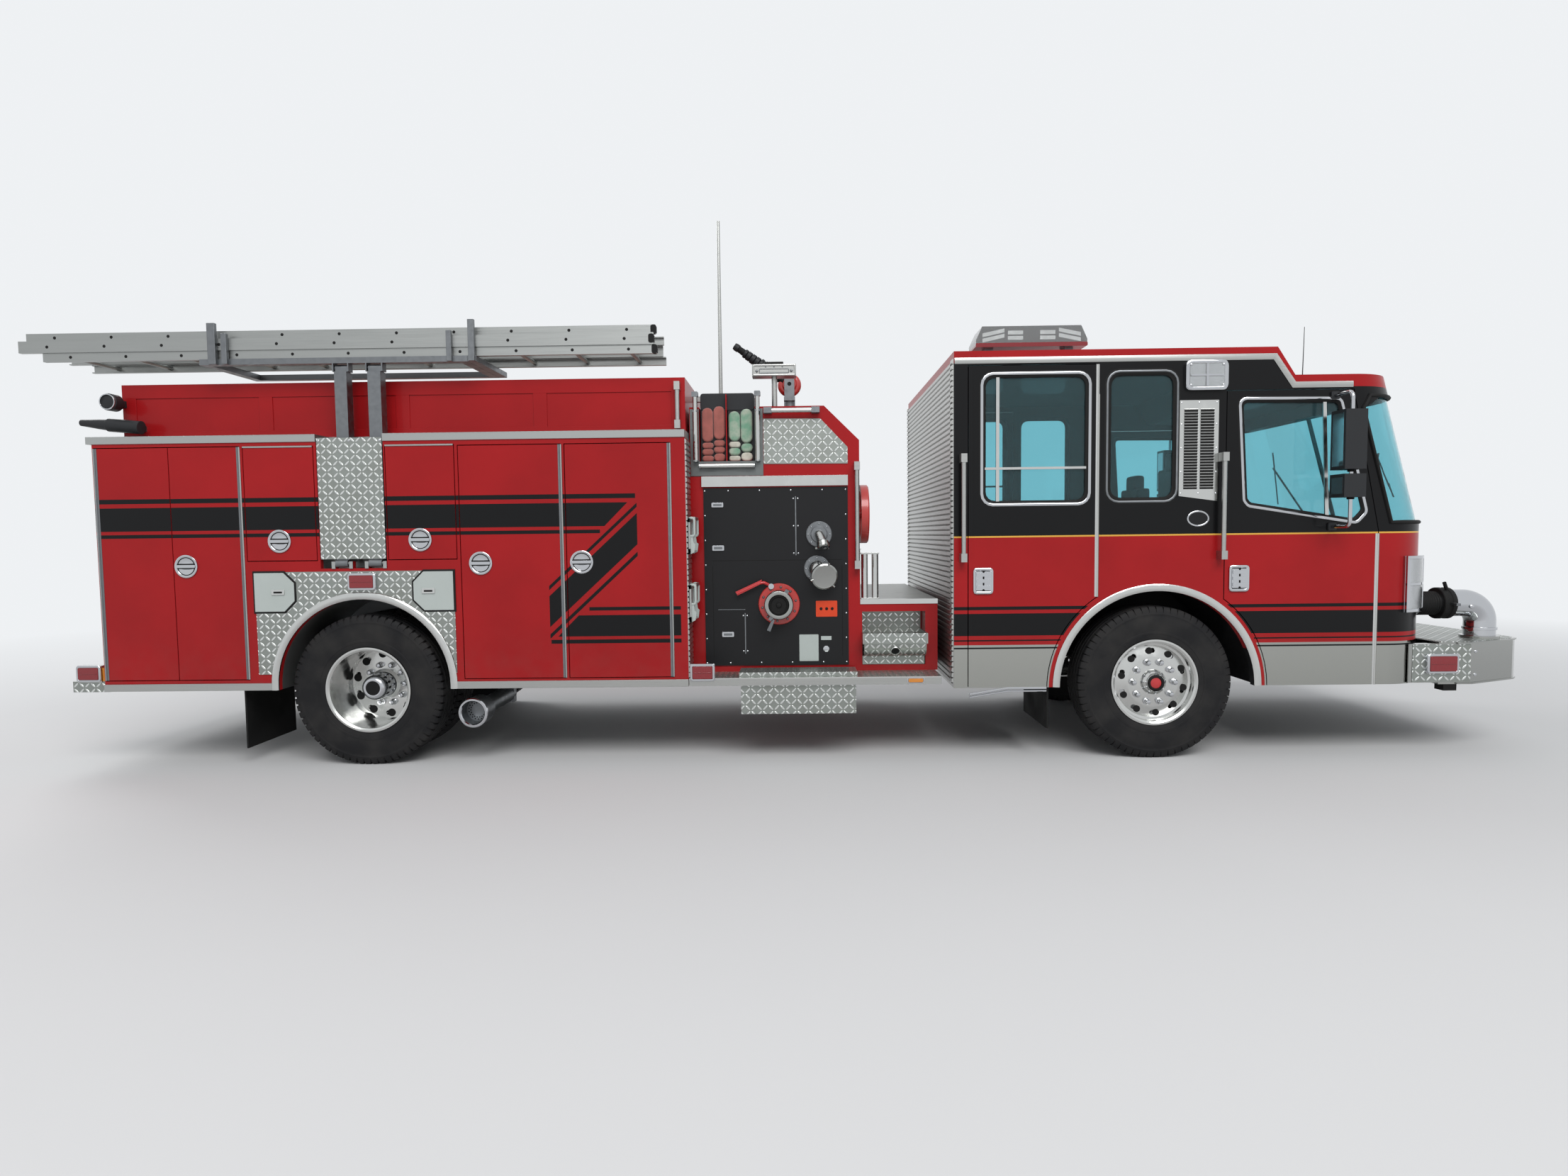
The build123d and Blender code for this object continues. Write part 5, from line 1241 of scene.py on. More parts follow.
def make_lamps():
    """Side, bumper, step and tail lamps, with the amber markers beside them."""
    for name, x0, x1, z0, z1, y, proud in LAMPS:
        face, middle = y - proud - 0.0005, (z0 + z1) / 2
        rim = box_outline(x0 + 0.007, x1 - 0.007, z0 + 0.007, z1 - 0.007, 0.012)
        parts = [
            ("chrome", hoop(rim, face, 0.02, 0.01)),
            ("red_lens", soft_box(x0 + 0.014, x1 - 0.014, z0 + 0.014, z1 - 0.014, 0.01, face - 0.014, face + 0.001),
             soft_box(x0 + 0.022, x1 - 0.022, middle - 0.004, middle + 0.004, 0.003, face - 0.017, face))]
        if proud:
            parts.append(("chrome", soft_box(x0 - 0.002, x1 + 0.002, z0 - 0.002, z1 + 0.002, 0.006, face, y)))
        pair(name, "truck", "lamp_lens", parts, bevel=0.002)
    marker = soft_box(3.765, 3.865, 0.555, 0.58, 0.01, BODY_SIDE - 0.008, BODY_SIDE)
    pair("amber_marker", "truck", "lamp_lens",
         [("amber_lens", marker),
          ("chrome", hoop(box_outline(3.758, 3.872, 0.549, 0.586, 0.012), BODY_SIDE, 0.01, 0.005)),
          ("amber_lens", block(-1.873, -1.828, BODY_SIDE + 0.04, BODY_SIDE + 0.1, 0.606, 0.7))], bevel=0.002)
    rear = -1.825 - 0.0245
    parts = []
    for low, high, lens_finish in ((0.86, 0.98, "clear_lens"), (1.0, 1.12, "amber_lens"), (1.14, 1.26, "red_lens")):
        parts += [("chrome", block(rear, rear + 0.024, BODY_SIDE + 0.058, BODY_SIDE + 0.212,
                                   low - 0.002, high + 0.002)),
                  (lens_finish, block(rear - 0.012, rear + 0.001, BODY_SIDE + 0.07, BODY_SIDE + 0.2,
                                      low + 0.01, high - 0.01))]
    pair("tail_lamps", "truck", "lamp_lens", parts, bevel=0.003)


# Body

ARCH_Z = 0.567
DOOR_HANDLES = (
    # body, x and z of the handle's centre
    ("front_leaf_right", -1.209, 1.407), ("door_a_right", 0.834, 1.407), ("door_b_right", 1.53, 1.407),
    ("front_leaf_left", -1.209, 1.407), ("door_a_left", 0.834, 1.407), ("door_b_left", 1.53, 1.407),
    ("upper_rear_door_right", -0.552, 1.573), ("upper_front_door_right", 0.422, 1.573),
    ("overwheel_door_left", -0.068, 1.573),
)
DISH = [(0.0795, -0.001), (0.0795, 0.0085), (0.075, 0.011), (0.067, 0.01), (0.0625, 0.0055), (0.055, 0.0025),
        (0.024, 0.0012), (0.0, 0.001), (0.0, 0.0002), (0.0634, 0.0002), (0.0634, -0.001)]


def make_handles():
    """Round flush handles: a dished bowl with a crowned rim, and a D-shaped bar across it over a dark slot that is
    painted shadow.
    """
    for body, x, z in DOOR_HANDLES:
        bowl = turned(DISH, (x, BODY_SIDE, z), steps=40, closed=True)
        grip = arc((0.062, 0.03), math.pi, 2 * math.pi, 12, (x, z + 0.008))
        bar = prism(grip, BODY_SIDE - 0.0095, BODY_SIDE - 0.001)
        top = soft_box(x - 0.066, x + 0.066, z - 0.01, z + 0.01, 0.006, BODY_SIDE - 0.0135, BODY_SIDE - 0.001)
        # The dark slot round the bar is painted shadow behind and under the bar, in the black rubber finish.
        slot = soft_box(x - 0.063, x + 0.063, z - 0.017, z + 0.018, 0.008, BODY_SIDE - 0.0105, BODY_SIDE - 0.001)
        ring = washer(0.0575, 0.0625, 0.003, 0.0075, (x, BODY_SIDE, z), steps=40)
        parts = [("chrome", bowl), ("steel", bar), ("chrome", top), ("rubber", slot, ring)]
        if body.endswith("_left"):
            parts = across_truck(parts)
        piece("handle_" + body, body, parts, bevel=0.0015)


def make_arch():
    """Treadplate round the rear wheel arch, its rolled trim, and the two bottle covers."""
    low = 0.65
    start = math.asin((low - ARCH_Z) / 0.65)
    sheet = [(0.646, low), (0.646, 1.361), (-0.736, 1.361), (-0.736, low),
             *arc(0.65, math.pi - start, start, 36, (0, ARCH_Z))]
    trim = [(-0.6245, 0.541), *arc(0.6245, math.pi, 0, 40, (0, ARCH_Z)), (0.6245, 0.541)]
    pair("arch_plate", "truck", "treadplate",
         [("treadplate", prism(sheet, BODY_SIDE - 0.0045, BODY_SIDE)),
          ("polished", carried(on_wall(trim, BODY_SIDE + 0.0005), strip(0.048, 0.021), normal=RIGHT))])
    covers = []
    for x0, x1, latch, inner in ((-0.738, -0.463, -0.572, 1), (0.366, 0.641, 0.47, -1)):
        z0, z1, cut = 1.088, 1.355, 0.072
        corners = [(x0, z0), (x1 - cut, z0), (x1, z0 + cut), (x1, z1 - cut), (x1 - cut, z1), (x0, z1)]
        if inner < 0:
            corners = [(x0 + x1 - x, z) for x, z in corners][::-1]
        middle = (z0 + z1) / 2
        covers += [("rubber", hoop(corners, BODY_SIDE - 0.001, 0.02, 0.007, 0.003)),
                   ("pale_plate", prism(corners, BODY_SIDE - 0.0125, BODY_SIDE - 0.002)),
                   ("polished", soft_box(latch - 0.045, latch + 0.045, middle - 0.018, middle + 0.018, 0.006,
                                         BODY_SIDE - 0.0195, BODY_SIDE - 0.012)),
                   ("rubber", soft_box(latch - 0.03, latch + 0.03, middle - 0.007, middle + 0.006, 0.004,
                                       BODY_SIDE - 0.0205, BODY_SIDE - 0.019))]
    pair("bottle_covers", "truck", "brushed_aluminium", covers, bevel=0.0015)


STEP_FRAMES = ((0.98, 1.24), (1.45, 1.7))
LOCKER_HINGES = (
    # body, x of the barrel, low z, high z
    ("rear_leaf_right", -1.813, 0.617, 2.22), ("front_leaf_right", -0.807, 0.617, 2.22),
    ("door_a_right", 1.403, 0.61, 2.21), ("door_b_right", 2.148, 0.61, 2.21),
)


def make_body_trim():
    """Hinge strips, the ribbed strip and steps at the body's front, and tread on the rack's plate."""
    for body, x, low, high in LOCKER_HINGES:
        toward = 1 if body.startswith("rear") else -1
        pair("hinge_" + body[:-6], body, "brushed_aluminium",
             [("steel", hinge_leaf(x, BODY_SIDE, low, high, toward))])
    front = 2.2505
    parts = [("brushed", ribs(0.6, 2.24, 44, front, 0.011, -1.238, -1.02))]
    for low, high in STEP_FRAMES:
        foot = low + 0.125
        side = [(front + 0.022, low), (front + 0.05, low + 0.015), (front + 0.058, low + 0.07),
                (front + 0.046, low + 0.08), (front + 0.04, low + 0.128), (front + 0.022, low + 0.128)]
        for y in (-1.2, -1.012):
            loop = [(front + ahead, y, z)
                    for ahead, z in ((0.012, foot), (0.052, foot), (0.052, high), (0.012, high))]
            parts += [("pale_plate", wire(rounded(loop, 0.018, 4, closed=True), 0.0095, 10, closed=True)),
                      ("pale_plate", prism(side, y - 0.005, y + 0.005))]
        parts += [("pale_plate", block(front + 0.03, front + 0.048, -1.2, -1.012, low + 0.02, low + 0.026)),
                  ("brushed", soft_box(front + 0.044, front + 0.06, high - 0.016, high + 0.008, 0.006,
                                       -1.205, -1.007))]
    pair("body_front_strip", "truck", "brushed_aluminium", parts)
    bolts = wall_grid((-0.255, -0.045, 0.165), BODY_SIDE - 0.003, (1.47, 2.255))
    piece("rack_tread", "ladder_arms",
          [("treadplate", block(-0.2695, 0.1795, BODY_SIDE - 0.003, BODY_SIDE, 1.446, 2.274)),
           ("chrome", domes(bolts, 0.009, 0.004))])


def make_body_forms():
    """Rub rails, flaps, step frames and tail lamp boxes of the body, and the borders of the bed's panels."""
    parts = [("brushed", block(start, end, BODY_SIDE - 0.012, BODY_SIDE + 0.001, 0.54, 0.59))
             for start, end in ((-1.825, -0.646), (0.646, 2.25))]
    parts += [("rubber", block(-0.881, -0.869, BODY_SIDE + 0.05, -0.59, 0.12, 0.541)),
              ("polished", block(-2.045, -1.875, BODY_SIDE + 0.0325, BODY_SIDE + 0.1, 0.6, 0.718))]
    for low, high in STEP_FRAMES:
        parts.append(("brushed", blocks(
            (2.249, 2.264, -1.215, -0.995, low, high), (2.249, 2.276, -1.215, -0.995, low, low + 0.04),
            (2.249, 2.276, -1.215, -1.19, low, high), (2.249, 2.276, -1.02, -0.995, low, high),
            (2.249, 2.276, -1.215, -0.995, high - 0.03, high))))
    pair("body_forms", "truck", "brushed_aluminium", parts, bevel=0.0015)
    rear, front, foot, top, wide = -1.77, 2.23, 2.36, 2.69, 0.097
    pitch = (front - rear - wide) / 4
    posts = [block(x, x + wide, BED_SIDE - 0.006, BED_SIDE + 0.001, foot - 0.059, top - 0.001)
             for x in rear + pitch * np.arange(5)]
    rows = [block(rear - 0.001, front + 0.001, BED_SIDE - 0.0068, BED_SIDE + 0.0018, *row)
            for row in ((foot - 0.06, foot), (top - wide, top))]
    pair("bed_borders", "truck", "red_paint", [("bed_paint", *posts, *rows)], bevel=0.002)


def make_bed_fittings():
    """Round flood lamp and stowed branch nozzle on the right bed wall's rear corner."""
    z = 2.553
    lamp = [turned([(0.001, -0.045), (0.05, -0.045), (0.059, -0.03), (0.059, 0.04), (0.052, 0.045),
                    (0.001, 0.045)], (-1.765, BED_SIDE - 0.105, z), steps=36),
            turned([(0.04, -0.01), (0.04, 0.011)], (-1.765, BED_SIDE - 0.05, z), steps=24),
            block(-1.768, -1.74, BED_SIDE - 0.06, BED_SIDE + 0.001, z - 0.023, z + 0.023)]
    rim = washer(0.048, 0.055, 0.0, 0.008, (-1.765, BED_SIDE - 0.151, z))
    end, y, z = -1.57, BED_SIDE - 0.1, 2.378
    way = np.array((-0.24, 0.0, 0.022)) / math.hypot(0.24, 0.022)
    nozzle = turned([(0.001, 0.0), (0.046, 0.004), (0.046, 0.232), (0.038, 0.24), (0.034, 0.3), (0.026, 0.38),
                     (0.022, 0.43), (0.001, 0.43)], (end, y, z), tuple(way), 24)
    clips = [block(x - 0.012, x + 0.012, y, BED_SIDE + 0.001, z - 0.018, z + 0.022)
             for x in (end - 0.05, end - 0.18)]
    piece("bed_fittings", "truck",
          [("plastic", *lamp, nozzle), ("steel", *clips), ("chrome", rim)], bevel=0.001)


# Pump house

CROSSLAY_FOLDS = (
    # x0, x1, z0, z1 of each fold, and its jacket
    (2.337, 2.417, 2.245, 2.488, "hose_pink"), (2.42, 2.502, 2.262, 2.499, "hose_pink"),
    (2.338, 2.418, 2.2, 2.242, "hose_pink"), (2.421, 2.501, 2.214, 2.259, "hose_pink"),
    (2.337, 2.417, 2.153, 2.197, "hose_pink"), (2.42, 2.5, 2.168, 2.211, "hose_pink"),
    (2.338, 2.418, 2.106, 2.15, "hose_pink"), (2.421, 2.501, 2.106, 2.165, "hose_pink"),
    (2.528, 2.61, 2.25, 2.462, "hose_green"), (2.614, 2.698, 2.236, 2.478, "hose_green"),
    (2.529, 2.611, 2.204, 2.247, "hose_white"), (2.615, 2.699, 2.172, 2.233, "hose_green"),
    (2.528, 2.61, 2.15, 2.201, "hose_green"), (2.614, 2.698, 2.106, 2.169, "hose_white"),
    (2.529, 2.611, 2.106, 2.147, "hose_white"),
)


ROLLER_X, ROLLER_Y = (2.297, 2.738), PUMP_SIDE - 0.029


def make_crosslays():
    """Folded hoses in the crosslay trays: each fold is a flat roll whose ends round over."""
    parts = []
    for x0, x1, z0, z1, jacket in CROSSLAY_FOLDS:
        radius = min(x1 - x0, z1 - z0) / 2 - 0.002
        parts.append((jacket, soft_box(x0, x1, z0, z1, radius, -0.925, 0.925)))
    made = piece("crosslay_hoses", "truck", parts, bevel=0.014)
    made.modifiers["Bevel"].segments = 3
    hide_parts("hose_packs")
    y = ROLLER_Y
    # The top box is the real cover; the two dark blocks under it fill the trays between and behind the hose folds
    # as painted shade.
    hood = [soft_box(2.326, 2.712, 2.47, 2.592, 0.02, -0.9, 0.9),
            block(2.325, 2.519, -0.895, 0.895, 2.106, 2.48), block(2.521, 2.712, -0.895, 0.895, 2.106, 2.48)]
    posts = [rod((x, y, 2.44), (x, y, 2.58), 0.0165) for x in ROLLER_X]
    feet = [soft_box(x - 0.022, x + 0.022, 2.556, 2.592, 0.006, y - 0.02, y + 0.024) for x in ROLLER_X]
    pair("crosslay_hood", "truck", "black_paint",
         [("polished", *posts), ("steel", *feet)])
    piece("crosslay_cover", "truck", [("plastic", *hood)], bevel=0.004)


PANEL_LATCHES = ((2.401, 2.485, 1.778, 1.811), (2.402, 2.486, 1.469, 1.506), (2.463, 2.548, 0.849, 0.884))


def make_panels():
    """Latches, hinges, seams, screws and blank plates on the side panels, with the bar above."""
    face = PUMP_SIDE - 0.008
    parts = [("polished", block(2.332, 3.373, PUMP_SIDE - 0.0235, PUMP_SIDE, 1.9235, 1.9965))]
    for x0, x1, z0, z1 in PANEL_LATCHES:
        parts += [("chrome", soft_box(x0, x1, z0, z1, 0.006, face - 0.01, face)),
                  ("steel", soft_box(x0 + 0.012, x1 - 0.012, z0 + 0.009, z1 - 0.009, 0.003, face - 0.013, face))]
    parts += [(finish, block(x0, x1, face - deep, face, z0, z1)) for finish, deep, x0, x1, z0, z1 in (
        ("steel", 0.004, 2.996, 3.004, 1.43, 1.85), ("steel", 0.004, 2.626, 2.634, 0.725, 1.019),
        ("steel", 0.004, 2.436, 2.632, 1.043, 1.047), ("rubber", 0.001, 2.4, 3.33, 1.395, 1.399),
        ("rubber", 0.001, 2.4, 2.404, 0.7, 1.36), ("rubber", 0.001, 3.326, 3.33, 0.7, 1.36))]
    parts += [
        ("orange_plate", soft_box(3.138, 3.291, 0.987, 1.102, 0.006, face - 0.004, face)),
        ("rubber", domes([(x, face - 0.004, 1.045) for x in (3.175, 3.215, 3.255)], 0.011, 0.006)),
        ("pale_plate", soft_box(3.017, 3.155, 0.668, 0.86, 0.004, face - 0.003, face)),
        ("pale_plate", soft_box(3.173, 3.248, 0.819, 0.847, 0.003, face - 0.003, face)),
        ("chrome", domes([(3.21, face, 0.755)], 0.024, 0.008)),
    ]
    edge = [place for xs, zs in (
        ((2.352, 3.356), np.linspace(0.66, 1.895, 8)), (np.linspace(2.52, 3.19, 4), (0.66, 1.895)),
        ((2.616, 2.644), (0.745, 1.0)), ((2.984, 3.016), (1.445, 1.64, 1.835)))
            for place in wall_grid(xs, face, zs)]
    parts.append(("chrome", domes(edge, 0.006, 0.004)))
    pair("panel_fittings", "truck", "polished_aluminium", parts, bevel=0.001)


INTAKE = (2.875, 1.083)
OUTLETS = ((3.165, 1.578), (3.148, 1.334))


def make_intakes():
    """Large capped intake with its red flange and lever, and two capped outlets below their elbows."""
    face = PUMP_SIDE - 0.008
    x, z = INTAKE
    middle = (x, face, z)
    bolts = around((x, face - 0.02, z), 0.122, 10, 0.2)
    flange = turned([(0.098, 0.0), (0.148, 0.0), (0.148, 0.016), (0.143, 0.021), (0.102, 0.021), (0.098, 0.017)],
                    middle, steps=48, closed=True)
    collar = turned([(0.07, 0.0), (0.098, 0.0), (0.098, 0.06), (0.103, 0.066), (0.103, 0.124), (0.098, 0.136),
                     (0.086, 0.14), (0.074, 0.137), (0.07, 0.126)], middle, steps=48, closed=True)
    cap = turned([(0.071, 0.0), (0.071, 0.122), (0.06, 0.126), (0.052, 0.118), (0.02, 0.118), (0.016, 0.128),
                  (0.004, 0.13)], middle, steps=40)
    lug = block(x - 0.014, x + 0.014, face - 0.13, face - 0.07, z + 0.098, z + 0.124)
    grip = prism([(x - 0.048, z - 0.098), (x - 0.03, z - 0.104), (x - 0.062, z - 0.186), (x - 0.086, z - 0.176)],
                 face - 0.13, face - 0.112)
    lever = [(x - 0.055, face - 0.016, z + 0.128), (x - 0.105, face - 0.034, z + 0.156),
             (x - 0.14, face - 0.036, z + 0.152), (x - 0.3, face - 0.04, z + 0.078)]
    paddle = prism([(x - 0.12, z + 0.178), (x - 0.13, z + 0.146), (x - 0.296, z + 0.066), (x - 0.31, z + 0.092)],
                   face - 0.046, face - 0.03)
    parts = [("gun_red", flange), ("steel", domes(bolts, 0.01, 0.009, steps=6)), ("stainless", collar),
             ("rubber", cap), ("steel", ring_copies(lug, middle, (0, 1, 0), 2, 0.17)), ("steel", grip),
             ("handle_red", tube(lever, 0.011, 0.012)), ("handle_red", paddle),
             ("chrome", rod((x - 0.055, face, z + 0.128), (x - 0.055, face - 0.034, z + 0.128), 0.02))]
    for (x, z), radius, (aside, down), lean in zip(OUTLETS, (0.034, 0.06), ((0.026, 0.08), (0.05, 0.052)),
                                                   ((0.15, -0.45, -0.9), (0.16, -0.96, -0.22))):
        middle = np.array((x, face, z))
        tip = np.array((x + aside, face - (0.1 if radius > 0.05 else 0.112), z - down))
        way = np.array(lean) / np.linalg.norm(lean)
        path = rounded([middle, middle + (0, -0.045, 0), tip - way * 0.02, tip], 0.02, 5)
        wide = radius + 0.03 if radius > 0.05 else radius + 0.008
        bolts = around((x, face - 0.012, z), 0.078, 8)
        parts += [
            ("steel", turned([(0.093, 0.0), (0.093, 0.01), (0.088, 0.014), (0.062, 0.014), (0.055, 0.02)],
                             middle, steps=40)),
            ("chrome", domes(bolts, 0.008, 0.008, steps=6)),
            ("polished", wire(path, radius, 28)),
            ("stainless", turned([(radius, -0.034), (wide, -0.026), (wide, -0.004), (wide + 0.004, 0.0),
                                  (wide + 0.004, 0.012), (wide - 0.006, 0.018), (wide - 0.016, 0.016)],
                                 tip, way, 36)),
            ("steel", turned([(wide - 0.015, 0.01), (wide - 0.02, 0.014), (0.004, 0.015)], tip, way, 36)),
            ("stainless", ring_copies(rod(tip + (wide - 0.004, 0, 0), tip + (wide + 0.016, 0, 0), 0.008, 10),
                                      tip, tuple(way), 3, 0.6)),
        ]
    right, _ = pair("intakes_and_outlets", "truck", "chrome", parts, bevel=0.0015)
    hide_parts("pump_fittings")


REEL = (3.455, PUMP_SIDE + 0.21, 1.722)
INSET = ((2.777, 2.4015), (3.1815, 2.3975), (3.3735, 2.1945), (3.3735, 2.0785), (2.777, 2.0825))


def make_house_trim():
    """Treadplate insets, crosslay rollers, platform top, step linings and board edges."""
    rollers = [rod((x, ROLLER_Y, 2.1), (x, ROLLER_Y, 2.462), 0.0182) for x in ROLLER_X]
    rollers.append(rod((2.32, ROLLER_Y, 2.072), (2.715, ROLLER_Y, 2.072), 0.0182))
    deck = [*ridges(PUMP_SIDE + 0.012, 0.0, 24, [(0.0, 1.1055), (0.25, 1.109), (0.6, 1.109), (0.85, 1.1055)]),
            (0.0, 1.1055), (0.0, 1.104), (PUMP_SIDE + 0.012, 1.104)]
    rail = [(2.786, PUMP_SIDE - 0.055, 2.452), (3.171, PUMP_SIDE - 0.055, 2.452)]
    parts = [
        ("treadplate", prism(INSET, PUMP_SIDE - 0.0055, PUMP_SIDE - 0.001)),
        ("polished", *rollers, rod(*rail, 0.0172)),
        ("brushed", prism(deck, 3.46, 4.008, "x")),
        ("polished", block(3.457, 4.011, PUMP_SIDE - 0.005, PUMP_SIDE + 0.012, 1.074, 1.1095)),
        ("treadplate", block(3.471, 3.915, PUMP_SIDE + 0.1965, PUMP_SIDE + 0.1995, 0.638, 1.019)),
        ("treadplate", block(3.471, 3.921, PUMP_SIDE - 0.106, PUMP_SIDE + 0.197, 0.8465, 0.8485)),
        ("treadplate", block(3.47, 3.922, PUMP_SIDE - 0.119, PUMP_SIDE - 0.1145, 0.799, 0.8735)),
        ("rubber", turned([(0.03, 0.0), (0.03, 0.0015), (0.001, 0.0015)], (3.696, PUMP_SIDE - 0.102, 0.748),
                          (0, -0.83, -0.55), 28)),
        ("polished", turned([(0.029, 0.0), (0.036, 0.0), (0.034, 0.004), (0.029, 0.004)],
                            (3.696, PUMP_SIDE - 0.101, 0.748), (0, -0.83, -0.55), 28, closed=True)),
        ("brushed", blocks(*((x, x + 0.006, PUMP_SIDE - 0.117, PUMP_SIDE, 0.799, 0.8735) for x in (3.466, 3.919)))),
        ("brushed", block(2.254, 3.99, BODY_SIDE - 0.003, BODY_SIDE, 0.541, 0.5935)),
        ("polished", block(2.254, 3.99, BODY_SIDE - 0.004, BODY_SIDE + 0.004, 0.588, 0.5955)),
    ]
    turn = np.linspace(0, math.pi / 2, 9)
    curve = np.stack([PUMP_SIDE - 0.006 - 0.106 * np.cos(turn) ** 0.8, 0.8 - 0.1 * np.sin(turn)], -1)
    scoop = np.concatenate([curve, curve[::-1] + (0.003, 0.003)])
    parts.append(("treadplate", prism(scoop, 3.476, 3.916, "x"),
                  block(3.471, 3.915, PUMP_SIDE - 0.004, PUMP_SIDE + 0.004, 0.64, 0.702)))
    pair("house_trim", "truck", "treadplate", parts)
    x, y, z = REEL
    reel = (x + 0.0715, y, z)
    cover = turned([(0.214, -0.055), (0.214, -0.006), (0.206, 0.002), (0.178, 0.002), (0.17, -0.006),
                    (0.17, -0.055)], reel, (1, 0, 0), 40, closed=True)
    piece("reel_rim", "truck",
          [("gun_red", cover), ("handle_red", domes([reel], 0.036, 0.012, (1, 0, 0)))])


def make_pump_forms():
    """Crosslay frames, rail clamps, platform rollers, step trays and hanging steps, and the hose reel."""
    y = ROLLER_Y
    plates = [block(x0, x1, PUMP_SIDE - 0.006, PUMP_SIDE, 2.001, top)
              for x0, x1, top in ((2.255, 2.32, 2.474), (2.715, 2.774, 2.474), (2.319, 2.716, 2.105))]
    brackets = [block(x - 0.017, x + 0.017, y - 0.017, PUMP_SIDE - 0.005, z, z + 0.012)
                for x in ROLLER_X for z in (2.1, 2.45)]
    brackets += [block(x, x + 0.012, y - 0.017, PUMP_SIDE - 0.005, 2.055, 2.089) for x in (2.32, 2.703)]
    clamps = [block(x, x + 0.058, PUMP_SIDE - 0.075, PUMP_SIDE, 2.432, 2.472) for x in (2.781, 3.118)]
    low, high = 1.105, 1.443
    stand = [block(3.464, 3.596, -0.928, -0.872, z, z + 0.012) for z in (low, high - 0.012)]
    stand += [rod((x, -0.9, low + 0.011), (x, -0.9, high - 0.011), 0.024, 20) for x in (3.492, 3.568)]
    tray = blocks((3.4703, 3.9217, -1.065, -0.7503, 0.838, 0.846), (3.4703, 3.478, -1.065, -0.7503, 0.838, 0.872),
                  (3.914, 3.9217, -1.065, -0.7503, 0.838, 0.872), (3.4703, 3.9217, -1.065, -1.057, 0.838, 0.872))
    steps = blocks((2.596, 3.416, -1.22, -0.99, 0.594, 0.628), (2.608, 3.406, -1.215, -0.91, 0.337, 0.541))
    pair("pump_forms", "truck", "brushed_aluminium",
         [("grey_plate", *plates), ("steel", *brackets, *clamps), ("polished", *stand),
          ("treadplate", tray, steps)], bevel=0.0015)
    x, y, z = REEL
    spokes = [block(x + 0.036, x + 0.056, y - wide, y + wide, z - high, z + high)
              for wide, high in ((0.013, 0.188), (0.188, 0.013))]
    piece("reel_core", "truck",
          [("gun_red", *spokes, rod((x - 0.001, y, z), (x + 0.072, y, z), 0.034, 24))],
          bevel=0.001)


# Front

def make_bumper_trim():
    """Treadplate on the bumper's sides and deck, bolts, and the hose and coupling behind the elbow."""
    side = CAB_SIDE + 0.02
    knee = CAB_NOSE + 0.23
    tip = CAB_NOSE + 0.708
    deck = [(CAB_NOSE + 0.028, side + 0.006), (knee, side + 0.006), (tip - 0.06, side + 0.196),
            (tip - 0.004, side + 0.256), (tip - 0.004, 0.0), (CAB_NOSE + 0.028, 0.0)]
    bolts = [(knee + 0.028, side - 0.0005, z) for z in (0.565, 0.725)]
    parts = [("treadplate", block(CAB_NOSE - 0.17, knee - 0.004, side - 0.003, side, 0.516, 0.776)),
             ("treadplate", prism(deck, 0.7895, 0.7925, "z")),
             ("chrome", domes(bolts, 0.011, 0.006)),
             ("rubber", block(CAB_NOSE + 0.05, CAB_NOSE + 0.14, side + 0.004, side + 0.09, 0.455, 0.499))]
    lip = [(knee - 0.1, side - 0.0005), (knee, side - 0.0005), (tip - 0.05, side + 0.19),
           (tip + 0.002, side + 0.24)]
    for z in (0.506, 0.784):
        path = [(x, y, z) for x, y in lip]
        section = [(0.0, -0.006), (0.0, 0.006), (-0.012, 0.005), (-0.012, -0.005)]
        parts.append(("stainless", carried(path, section, normal=(0, 0, 1))))
    pair("bumper_trim", "truck", "treadplate", parts)
    y, z = CAB_SIDE + 0.26, 1.04
    wave = [(0.0845 if k % 2 else 0.0805, 0.008 * k) for k in range(18)]
    hose = turned(wave, (CAB_NOSE - 0.004, y, z), (1, 0, 0), 36)
    collar = turned([(0.106, 0.0), (0.111, 0.004), (0.111, 0.03), (0.106, 0.036), (0.106, 0.054), (0.111, 0.06),
                     (0.111, 0.086), (0.104, 0.092), (0.097, 0.092)], (CAB_NOSE + 0.139, y, z), (1, 0, 0), 40)
    lever = [(CAB_NOSE + 0.185, y - 0.05, z + 0.1), (CAB_NOSE + 0.16, y - 0.06, z + 0.15)]
    piece("suction_hose", "truck",
          [("rubber", hose, collar, rod(*lever, 0.012),
            rod((CAB_NOSE + 0.142, y, z), (CAB_NOSE + 0.215, y, z), 0.099, 32)),
           ("steel", block(CAB_NOSE + 0.176, CAB_NOSE + 0.204, y - 0.165, y - 0.095, z - 0.009, z + 0.009)),
           ("chrome", turned([(0.094, 0.0), (0.103, 0.002), (0.103, 0.02), (0.094, 0.022)],
                             (CAB_NOSE + 0.46, y, 0.85), (0, 0, 1), 36, closed=True)),
           ("chrome", domes([(CAB_NOSE + 0.33, y - 0.096, z - 0.02)], 0.016, 0.01))], bevel=0.001)


# Top

LADDERS = (
    # start x, end x, y of the outer face, low z, depth of the beams, distance between them
    (-2.2, 2.06, -1.15, 2.831, 0.06, 0.43), (-2.36, 2.04, -1.16, 2.891, 0.08, 0.43),
    (-2.335, 2.05, -1.12, 2.971, 0.06, 0.37),
)


